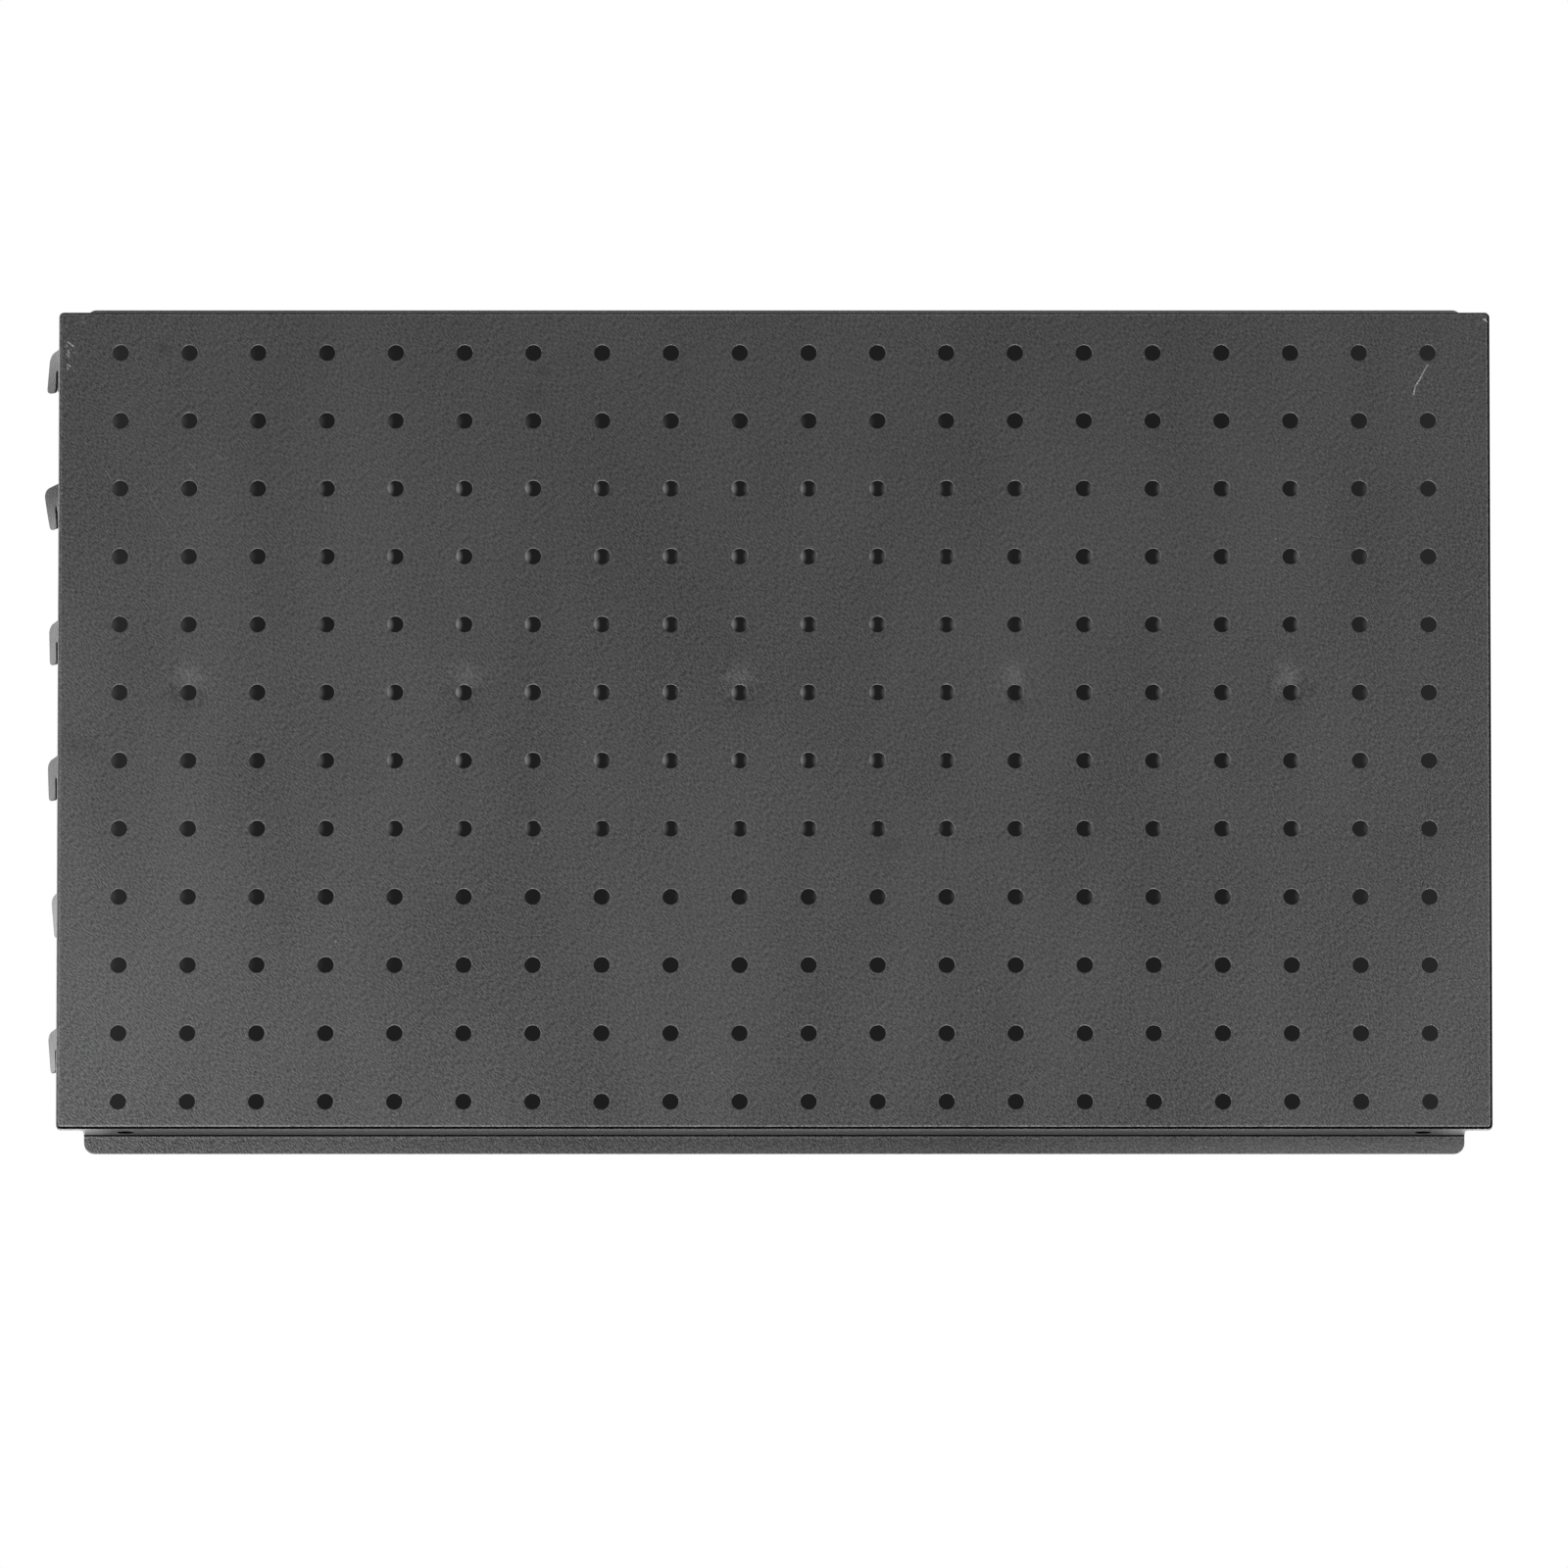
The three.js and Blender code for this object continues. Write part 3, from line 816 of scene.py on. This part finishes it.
def hook_skin(side, turn, lean, base_z):
    """The inner face of a hook, which looks towards the middle of the panel."""
    skin = Skin()
    inner_x = HALF_WIDTH - SHEET - HOOK_SHEET
    step = 0.01

    def place(behind, height):
        out, back = bent_point(behind, height, turn, lean)
        return Vector((side * (inner_x + out), BEND_LINE_Y + back, base_z + height))

    def corner(column, row, behind, height):
        along = place(behind + step, height) - place(behind - step, height)
        upwards = place(behind, height + step) - place(behind, height - step)
        normal = along.cross(upwards) * -side
        return skin.at((column, row), place(behind, height), normal)

    grid = hook_grid()
    for number in range(len(grid) - 1):
        for part in (1, 2):
            first, second = grid[number][part], grid[number + 1][part]
            first_all = grid[number][part] + (grid[number][2][:1] if part == 1 else [])
            second_all = grid[number + 1][part] + (grid[number + 1][2][:1] if part == 1 else [])
            if not first or not second:
                continue
            for row in range(len(first_all) - 1):
                key = (part, row)
                next_key = (part, row + 1) if part == 2 or row + 1 < len(first) else (2, 0)
                face = [
                    corner(number, key, grid[number][0], first_all[row]),
                    corner(number + 1, key, grid[number + 1][0], second_all[row]),
                    corner(number + 1, next_key, grid[number + 1][0], second_all[row + 1]),
                    corner(number, next_key, grid[number][0], first_all[row + 1]),
                ]
                skin.face(list(reversed(face)) if side > 0 else face)
    return skin


def add_hook(name, side, turn, lean, material):
    base_z = box_mm(name)[0][2]
    points, faces = thicken(hook_skin(side, turn, lean, base_z), HOOK_SHEET, EDGE_RADIUS)
    make_piece(name + "_stamped", points, faces, name, material)


# ---------------- stiffener and its welds


def stiffener_skin():
    """The outer side of the angle: the foot's front, the heel and the top of the web."""
    low, high = box_mm("mid_stiffener")
    radius = STIFFENER_HEEL
    foot = spread(low[2] + EDGE_RADIUS, high[2] - radius, STIFFENER_FLAT_STEPS)
    profile = [(low[1], z, -1, 0) for z in foot]
    for turn in spread(0, math.pi / 2, STIFFENER_HEEL_STEPS)[1:]:
        depth = low[1] + radius * (1 - math.cos(turn))
        level = high[2] - radius * (1 - math.sin(turn))
        profile.append((depth, level, -math.cos(turn), math.sin(turn)))
    web = spread(low[1] + radius, high[1] - EDGE_RADIUS, STIFFENER_FLAT_STEPS)
    profile += [(y, high[2], 0, 1) for y in web[1:]]
    lines = spread(low[0] + EDGE_RADIUS, high[0] - EDGE_RADIUS, STIFFENER_LENGTH_STEPS)
    skin = Skin()
    for index, x in enumerate(lines):
        for number, (y, z, normal_y, normal_z) in enumerate(profile):
            skin.at((index, number), (x, y, z), (0, normal_y, normal_z))
    for index in range(len(lines) - 1):
        for number in range(len(profile) - 1):
            corners = [(index, number), (index + 1, number), (index + 1, number + 1), (index, number + 1)]
            skin.face([skin.named[corner] for corner in corners])
    return skin


def weld_bead(node, ripples, phase):
    """A short rippled bead in the corner under the stiffener's free edge."""
    low, high = box_mm(node)
    leg = high[1] - low[1]
    half = (high[0] - low[0]) / 2
    middle = (high[0] + low[0]) / 2
    stations = spread(-1, 1, BEAD_STATIONS)
    points, faces = [], []
    for along in stations:
        taper = max(0.0, 1 - abs(along) ** 5) ** 0.5
        ripple = 1 + BEAD_RIPPLE * math.sin(ripples * math.pi * along + phase)
        radius = max(BEAD_TIP, leg * BEAD_FILL * taper * ripple)
        for step in range(BEAD_SIDES):
            turn = math.pi / 2 * step / (BEAD_SIDES - 1)
            bulge = radius * (1 + BEAD_BULGE * math.sin(2 * turn))
            y, z = low[1] + bulge * math.sin(turn), high[2] - bulge * math.cos(turn)
            points.append((middle + half * along, y, z))
        points.append((middle + half * along, low[1] - BEAD_OVERLAP, high[2] + BEAD_OVERLAP))
    ring = BEAD_SIDES + 1
    for station in range(len(stations) - 1):
        for step in range(ring):
            after = (step + 1) % ring
            base, ahead = station * ring, (station + 1) * ring
            faces.append([base + step, ahead + step, ahead + after, base + after])
    faces.append(list(range(ring)))
    faces.append([len(points) - ring + step for step in reversed(range(ring))])
    return points, faces


# ---------------- materials


def add_node(tree, kind, inputs=None, **settings):
    node = tree.nodes.new(kind)
    for name, value in settings.items():
        setattr(node, name, value)
    for key, value in (inputs or {}).items():
        if isinstance(value, bpy.types.NodeSocket):
            tree.links.new(value, node.inputs[key])
        else:
            node.inputs[key].default_value = value
    return node


def follow(kind, inputs, **settings):
    """A new node in the tree of the sockets that feed it."""
    tree = next(value.id_data for value in inputs.values() if isinstance(value, bpy.types.NodeSocket))
    return add_node(tree, kind, inputs, **settings)


def maths(operation, *values):
    return follow("ShaderNodeMath", dict(enumerate(values)), operation=operation).outputs[0]


def times(first, *others):
    for other in others:
        first = maths("MULTIPLY", first, other)
    return first


def plus(mask, amount, base):
    """The base with this many times the mask added."""
    return maths("MULTIPLY_ADD", mask, amount, base)


def vectors(operation, first, second, result="Vector"):
    return follow("ShaderNodeVectorMath", {0: first, 1: second}, operation=operation).outputs[result]


def split_axes(place):
    return follow("ShaderNodeSeparateXYZ", {"Vector": place}).outputs


def ramp_between(value, start, end, low=0.0, high=1.0):
    """A value that runs smoothly from low to high as another runs from start to end."""
    inputs = {"Value": value, "From Min": start, "From Max": end, "To Min": low, "To Max": high}
    return follow("ShaderNodeMapRange", inputs, interpolation_type="SMOOTHSTEP").outputs[0]


def ramp_mm(value, start, end, low=0.0, high=1.0):
    """The same, for a length in metres with its start and end in millimetres."""
    return ramp_between(value, start * MM, end * MM, low, high)


def band(value, start, full, fade, end):
    """1 between full and fade, running to 0 at start and end (in mm)."""
    return times(ramp_mm(value, start, full), ramp_mm(value, end, fade))


def strongest(masks):
    result = masks[0]
    for mask in masks[1:]:
        result = maths("MAXIMUM", result, mask)
    return result


def fractal(place, scale, detail=3.0, roughness=0.5):
    inputs = {"Vector": place, "Scale": scale, "Detail": detail, "Roughness": roughness}
    return follow("ShaderNodeTexNoise", inputs).outputs["Fac"]


def stretched(place, turn, scale):
    """Coordinates turned about the face's normal, then scaled along the turned axes."""
    inputs = {"Vector": place, "Rotation": (0, math.radians(turn), 0)}
    turned = follow("ShaderNodeMapping", inputs).outputs[0]
    return vectors("MULTIPLY", turned, scale)


def near_point(plane, x, z, radius, softness):
    """1 at a point of the face (in mm), 0 beyond the radius."""
    away = vectors("DISTANCE", plane, (x * MM, 0, z * MM), "Value")
    return ramp_mm(away, radius, radius * (1 - softness))


def near_line(plane, start, end, width):
    """1 on a straight stroke across the face (in mm), 0 beyond its width."""
    first = Vector((start[0], 0, start[1])) * MM
    along = Vector((end[0], 0, end[1])) * MM - first
    reached = vectors("SUBTRACT", plane, tuple(first))
    share = vectors("DOT_PRODUCT", reached, tuple(along / along.length_squared), "Value")
    share = follow("ShaderNodeClamp", {"Value": share}).outputs[0]
    scaled = follow("ShaderNodeVectorMath", {0: tuple(along), "Scale": share}, operation="SCALE")
    away = vectors("DISTANCE", reached, scaled.outputs[0], "Value")
    return ramp_mm(away, width, width * STROKE_CORE)


def smudge_and_painted_shade_mask(place, plane):
    """Dark smudges, a faint rubbed line, and painted shade on the lower side of each dimple."""
    dabs = [near_point(plane, x, z, radius, SMUDGE_SOFTNESS) for x, z, radius in SMUDGES]
    lines = [near_line(plane, *ends, RUB_WIDTH) for ends in RUB_LINES]
    rubs = [times(line, RUB_STRENGTH) for line in lines]
    cloud = ramp_between(fractal(place, CLOUD_SCALE), 0.35, 0.6, 0.45, 1.0)
    dark_marks = times(strongest(dabs + rubs), cloud)
    return maths("MAXIMUM", dark_marks, painted_dimple_spots(plane, *DIMPLE_PAINTED_SHADE))


def wear_and_painted_highlight_mask(place, plane):
    """Scuffs, scratches, specks of dust, and a painted highlight above each dimple."""
    speckle = ramp_between(fractal(place, SPECKLE_SCALE, 2.0), 0.56, 0.64)
    patches = [near_point(plane, x, z, radius, PATCH_SOFTNESS) for x, z, radius in SCUFF_PATCHES]
    rough = times(strongest(patches), speckle, PATCH_STRENGTH)
    strokes = [near_line(plane, *ends, SCUFF_WIDTH) for ends in SCUFFS]
    scuffs = times(strongest(strokes), ramp_between(speckle, 0.0, 1.0, *SCUFF_STRENGTH))
    breaks = ramp_between(fractal(place, BREAK_SCALE), 0.42, 0.56)
    strokes = [near_line(plane, *ends, SCRATCH_WIDTH) for ends in SCRATCHES]
    faint = times(breaks, SCRATCH_STRENGTH)
    scratches = times(strongest(strokes), faint)
    dust = ramp_between(fractal(place, DUST_SCALE, 1.0), 0.775, 0.80, 0.0, DUST_STRENGTH)
    pale = strongest([rough, scuffs, scratches, dust])
    return maths("MAXIMUM", pale, painted_dimple_spots(plane, *DIMPLE_PAINTED_HIGHLIGHT))


def painted_dimple_spots(plane, rise, radius, strength):
    """A soft spot at the same place beside every dimple: a painted highlight or painted shade."""
    level = row_z(DIMPLE_ROW) + rise
    spots = [near_point(plane, column_x(c), level, radius, SPOT_SOFTNESS) for c in WELD_COLUMNS]
    return times(strongest(spots), strength)


def wear_and_painted_light_masks(place):
    """(dark, pale) masks on the face only: dirt and wear, with painted shade and painted highlights at the
    dimples.
    """
    plane = vectors("MULTIPLY", place, (1, 0, 1))
    on_face = ramp_mm(split_axes(place)["Y"], SHEET - 0.03, SHEET - 0.1)
    masks = smudge_and_painted_shade_mask(place, plane), wear_and_painted_highlight_mask(place, plane)
    return [times(mask, on_face) for mask in masks]


class Spot:
    """A shading point's place on the sheet, as sockets in metres."""

    def __init__(self, place):
        split = split_axes(place)
        self.across, self.depth, self.up = split["X"], split["Y"], split["Z"]
        self.side = maths("ABSOLUTE", self.across)
        level = maths("ABSOLUTE", self.up)
        past_side = maths("SUBTRACT", self.side, (HALF_WIDTH - BEND_RADIUS) * MM)
        self.past_level = maths("SUBTRACT", level, (HALF_HEIGHT - BEND_RADIUS) * MM)
        self.at_edge = ramp_mm(maths("MAXIMUM", past_side, self.past_level), 0.0, LINE_BLUR)
        self.at_flange = ramp_mm(self.past_level, BEND_RADIUS - 0.3, BEND_RADIUS - 0.1)


def fixing_hole_shade_mask(spot):
    """Painted shade: 1 in a fixing hole and just round it."""
    parts = []
    for value, centre in ((spot.side, FIXING_X), (spot.depth, FIXING_Y)):
        parts.append(maths("POWER", maths("SUBTRACT", value, centre * MM), 2.0))
    away = maths("SQRT", maths("ADD", *parts))
    hole = ramp_mm(away, FIXING_RADIUS + 0.3, FIXING_RADIUS + 0.1)
    return times(hole, ramp_mm(spot.past_level, 0.2, 0.3))


def painted_fold_shade(spot):
    """Painted shade: dark lines along the folds and the lips' inside corners, a fainter band across the
    flanges, and dark fixing holes.
    """
    left = ramp_mm(spot.across, 0.6 - HALF_WIDTH, 1.0 - HALF_WIDTH, LEFT_FOLD_STRENGTH, 1.0)
    top = ramp_mm(spot.up, HALF_HEIGHT - 1.0, HALF_HEIGHT - 1.6, TOP_FOLD_STRENGTH, 1.0)
    fold = times(spot.at_edge, band(spot.depth, *FOLD_SHADE_LINE), left, top)
    corner = times(spot.at_flange, band(spot.depth, *CORNER_SHADE_LINE))
    shade = times(spot.at_flange, band(spot.depth, *CORNER_SHADE), CORNER_SHADE_STRENGTH)
    return strongest([fold, corner, fixing_hole_shade_mask(spot), shade])


def painted_fold_highlights(spot):
    """Painted highlights: pale lines in front of the folds and where the lips begin."""
    along = ramp_mm(spot.past_level, 0.0, LINE_BLUR, SIDE_HIGHLIGHT_STRENGTH, 1.0)
    fold = times(spot.at_edge, band(spot.depth, *FOLD_HIGHLIGHT), along)
    at_lip = ramp_mm(spot.depth, DEPTH - SHEET - 0.2, DEPTH - SHEET - 0.1)
    lip = times(band(spot.past_level, *LIP_HIGHLIGHT), at_lip)
    return maths("MAXIMUM", fold, lip)


def painted_light_places(spot):
    """Painted light on the flanges' ends, the upper lip and the right part of the lower lip."""
    near_end = ramp_mm(spot.side, HALF_WIDTH - 24, HALF_WIDTH - 9)
    ends = times(spot.at_flange, band(spot.depth, *FLANGE_END_LIGHT), near_end)
    upper = ramp_mm(spot.up, HALF_HEIGHT + 0.3, HALF_HEIGHT + 1.5)
    lower = ramp_mm(spot.up, -HALF_HEIGHT - 0.9, -HALF_HEIGHT - 1.4)
    lower = times(lower, ramp_mm(spot.across, 0.0, 250.0, *LOWER_LIP_LIGHT))
    return strongest([ends, upper, lower])


def powder_coat(name, shade=1.0, grain=1.0, wear_and_painted_light=False):
    """Charcoal fine-texture powder coat: pebbled orange peel with a slanting grain and faint mottling."""
    material = bpy.data.materials.new(name)
    material.use_nodes = True
    tree = material.node_tree
    shader = tree.nodes["Principled BSDF"]
    place = add_node(tree, "ShaderNodeTexCoord").outputs["Object"]
    slant = stretched(place, GRAIN_TURN, (1.0, 1.0, GRAIN_STRETCH))
    streaks = fractal(slant, GRAIN_SCALE, 1.5, 0.6)
    pebbles = fractal(place, PEBBLE_SCALE, 1.0)
    relief = plus(pebbles, PEBBLE_SHARE, streaks)
    bump = follow("ShaderNodeBump", {"Height": relief, "Strength": 1.0, "Distance": grain * GRAIN_HEIGHT})
    clouds = fractal(stretched(place, 0, (1.0, 1.0, MOTTLE_STRETCH)), MOTTLE_SCALE, 4.0)
    mottle = ramp_between(clouds, 0.3, 0.7, -MOTTLE_CONTRAST, MOTTLE_CONTRAST)
    contrast = GRAIN_CONTRAST * grain
    tone = maths("ADD", mottle, ramp_between(streaks, 0.35, 0.65, -contrast, contrast))
    tone = maths("ADD", tone, 1.0)
    roughness = ramp_between(clouds, 0.3, 0.7, *COAT_ROUGHNESS)
    # The face's copy adds wear marks and painted light and shade.
    if wear_and_painted_light:
        dark_marks, pale = wear_and_painted_light_masks(place)
        # Smudges and the painted shade below each dimple darken the coat; wear and the painted highlight
        # above each dimple pale it.
        tone = times(tone, plus(dark_marks, -SMUDGE_AND_SHADE_TONE, 1.0))
        tone = plus(pale, WEAR_AND_HIGHLIGHT_TONE, tone)
        roughness = plus(dark_marks, SMUDGE_AND_SHADE_ROUGHNESS, roughness)
        spot = Spot(place)
        # Painted light on the flange ends and the lips.
        tone = plus(painted_light_places(spot), PAINTED_LIGHT_TONE, tone)
        # Painted highlights along the fold crests, broken into glints by the pebbles.
        glints = ramp_between(pebbles, 0.40, 0.62, 0.15, 0.75)
        painted_highlight = times(painted_fold_highlights(spot), glints)
        tone = plus(painted_highlight, HIGHLIGHT_TONE, tone)
        # Painted shade along the folds, in the inside corners and in the fixing holes, which dulls the
        # gloss too.
        dark = painted_fold_shade(spot)
        tone = times(tone, plus(dark, -PAINTED_SHADE_TONE, 1.0))
        gloss = plus(dark, -COAT_GLOSS, COAT_GLOSS)
        tree.links.new(gloss, shader.inputs["Specular IOR Level"])
    base = [shade * part for part in COAT_COLOUR]
    colour = follow("ShaderNodeVectorMath", {0: base, "Scale": tone}, operation="SCALE")
    tree.links.new(colour.outputs[0], shader.inputs["Base Color"])
    tree.links.new(roughness, shader.inputs["Roughness"])
    tree.links.new(bump.outputs[0], shader.inputs["Normal"])
    return material


# ---------------- the object

face_coat = powder_coat("charcoal_powder_coat_worn_and_painted_light", wear_and_painted_light=True)
coat = powder_coat("charcoal_powder_coat")
# The hooks' copy of the coat is a tenth paler: painted light for the light they catch.
hook_coat_painted_light = powder_coat("charcoal_powder_coat_hooks_painted_light", shade=1.1, grain=0.5)
weld_coat = powder_coat("coated_weld_bead", shade=0.9, grain=0.8)

points, faces = thicken(panel_skin(), SHEET, EDGE_RADIUS)
make_piece("panel_sheet", points, faces, "face_panel", face_coat)
points, faces = thicken(stiffener_skin(), STIFFENER_SHEET, EDGE_RADIUS)
make_piece("stiffener_angle", points, faces, "mid_stiffener", coat)
for number in range(1, len(WELD_COLUMNS) + 1):
    node = "stiffener_weld_%d" % number
    points, faces = weld_bead(node, BEAD_RIPPLES + number % 3, number)
    make_piece(node + "_bead", points, faces, node, weld_coat)
for number, (turn, lean) in enumerate(LEFT_HOOKS, 1):
    add_hook("left_hook_%d" % number, -1, turn, lean, hook_coat_painted_light)
    add_hook("right_hook_%d" % number, 1, 0, 0, hook_coat_painted_light)


# ---------------- studio


def add_camera():
    data = bpy.data.cameras.new("camera")
    data.sensor_width = SENSOR
    data.lens = SENSOR * CAMERA_DISTANCE / VIEW_WIDTH
    data.clip_end = 100
    camera = bpy.data.objects.new("camera", data)
    bpy.context.scene.collection.objects.link(camera)
    lift = math.radians(CAMERA_ELEVATION)
    camera.location = AIM + Vector((0, -math.cos(lift), math.sin(lift))) * CAMERA_DISTANCE
    camera.rotation_euler = (AIM - camera.location).to_track_quat("-Z", "Y").to_euler()
    bpy.context.scene.camera = camera


def add_world(ambient):
    """A surround that shows white and lights the object much less."""
    world = bpy.data.worlds.new("studio_white")
    world.use_nodes = True
    tree = world.node_tree
    backdrop = tree.nodes["Background"]
    backdrop.inputs["Color"].default_value = (1, 1, 1, 1)
    soft = add_node(tree, "ShaderNodeBackground", {"Color": (1, 1, 1, 1), "Strength": ambient})
    seen = add_node(tree, "ShaderNodeLightPath").outputs["Is Camera Ray"]
    mix = add_node(tree, "ShaderNodeMixShader", {0: seen, 1: soft.outputs[0], 2: backdrop.outputs[0]})
    tree.links.new(mix.outputs[0], tree.nodes["World Output"].inputs["Surface"])
    bpy.context.scene.world = world
    bpy.context.scene.view_settings.view_transform = "Standard"


def add_softbox(name, place, target, size, watts):
    data = bpy.data.lights.new(name, "AREA")
    data.shape = "DISK"
    data.size = size
    data.energy = watts
    light = bpy.data.objects.new(name, data)
    light.location = place
    light.rotation_euler = (Vector(target) - Vector(place)).to_track_quat("-Z", "Y").to_euler()
    light.visible_camera = False
    bpy.context.scene.collection.objects.link(light)


def stage_plane(name, corners, material):
    mesh = bpy.data.meshes.new(name)
    mesh.from_pydata(corners, [], [(0, 1, 2, 3)])
    mesh.materials.append(material)
    plane = bpy.data.objects.new(name, mesh)
    bpy.context.scene.collection.objects.link(plane)
    return plane


def plain_card(name, grey):
    material = bpy.data.materials.new(name)
    material.use_nodes = True
    shader = material.node_tree.nodes["Principled BSDF"]
    shader.inputs["Base Color"].default_value = (grey, grey, grey, 1)
    shader.inputs["Roughness"].default_value = CARD_ROUGHNESS
    return material


def add_floor():
    half = FLOOR_SIZE / 2
    corners = [(x, y, FLOOR_Z) for x, y in ((-half, -half), (half, -half), (half, half), (-half, half))]
    stage_plane("floor", corners, plain_card("pale_floor", FLOOR_GREY))


def add_flag():
    """A dark card that the camera does not see: it keeps light off the object."""
    side, front, back, half = FLAG_X, FLAG_FRONT, FLAG_BACK, FLAG_HALF_HEIGHT
    corners = [(side, front, -half), (side, back, -half), (side, back, half), (side, front, half)]
    flag = stage_plane("flag_right", corners, plain_card("flag_right", FLAG_GREY))
    flag.visible_camera = False


def painted_light_spots(across, up, offset):
    """Painted light: round pale patches on the card to one side of every peg hole."""
    shifts = (offset, SPOT_RISE)
    starts = (PITCH * COLUMNS / 2, -row_z(1) + PITCH / 2 + PITCH * ROWS)
    parts = []
    for value, shift, start in zip((across, up), shifts, starts):
        cells = maths("FRACT", maths("DIVIDE", maths("ADD", value, start * MM), PITCH * MM))
        centred = maths("SUBTRACT", times(cells, PITCH), PITCH / 2 + shift)
        parts.append(maths("POWER", centred, 2.0))
    away = maths("SQRT", maths("ADD", *parts))
    return ramp_between(away, HOLE_RADIUS + SPOT_BLUR, HOLE_RADIUS - SPOT_BLUR)


def card_painted_shade_and_light(across, up):
    """The card's glow: a dark grey of painted shade and the painted light patches, which fade out towards
    its edges.
    """
    left_spots = painted_light_spots(across, up, -LEFT_SPOT_SHIFT)
    right_spots = painted_light_spots(across, up, RIGHT_SPOT_SHIFT)
    left_area = times(band(up, *LEFT_SPOT_ROWS), band(across, *LEFT_SPOT_COLUMNS))
    right_area = times(band(up, *RIGHT_SPOT_ROWS), band(across, *RIGHT_SPOT_COLUMNS))
    glow = times(left_spots, left_area, LEFT_SPOT_STRENGTH)
    other = times(right_spots, right_area)
    glow = plus(other, RIGHT_SPOT_STRENGTH, glow)
    dim = times(left_spots, band(up, *DIM_SPOT_ROWS))
    glow = plus(dim, ramp_mm(across, -50, -200, 0.0, DIM_SPOT_STRENGTH), glow)
    card = ramp_mm(maths("ABSOLUTE", across), 170, 250, *CARD_SHADE_GREYS)
    return maths("ADD", glow, card)


def add_card_of_painted_shade_and_light():
    """A glowing card in the open back: its painted shade makes the holes look dark from the front.

    Its pale patches are painted light, drawn, not lit. Only the camera sees the card, and only its
    front. It hides nothing from behind, casts no shadow and lights nothing.
    """
    material = bpy.data.materials.new("backing_card_painted_shade_and_light")
    material.use_nodes = True
    tree = material.node_tree
    tree.nodes.remove(tree.nodes["Principled BSDF"])
    place = add_node(tree, "ShaderNodeTexCoord").outputs["Object"]
    split = split_axes(place)
    brightness = card_painted_shade_and_light(split["X"], split["Z"])
    shade = follow("ShaderNodeEmission", {"Strength": brightness})
    clear = add_node(tree, "ShaderNodeBsdfTransparent")
    behind = add_node(tree, "ShaderNodeNewGeometry").outputs["Backfacing"]
    mix = add_node(tree, "ShaderNodeMixShader", {0: behind, 1: shade.outputs[0], 2: clear.outputs[0]})
    tree.links.new(mix.outputs[0], tree.nodes["Material Output"].inputs["Surface"])
    x = (HALF_WIDTH - SHEET - HOOK_SHEET - CARD_GAP) * MM
    z = (HALF_HEIGHT - CARD_MARGIN) * MM
    y = CARD_Y * MM
    card = stage_plane("backing_card_painted_shade_and_light", [(-x, y, -z), (x, y, -z), (x, y, z), (-x, y, z)], material)
    card.visible_diffuse = False
    card.visible_glossy = False
    card.visible_transmission = False
    card.visible_shadow = False


add_camera()
add_world(WORLD_LIGHT)
add_floor()
add_card_of_painted_shade_and_light()
add_flag()
for softbox in SOFTBOXES:
    add_softbox(*softbox)
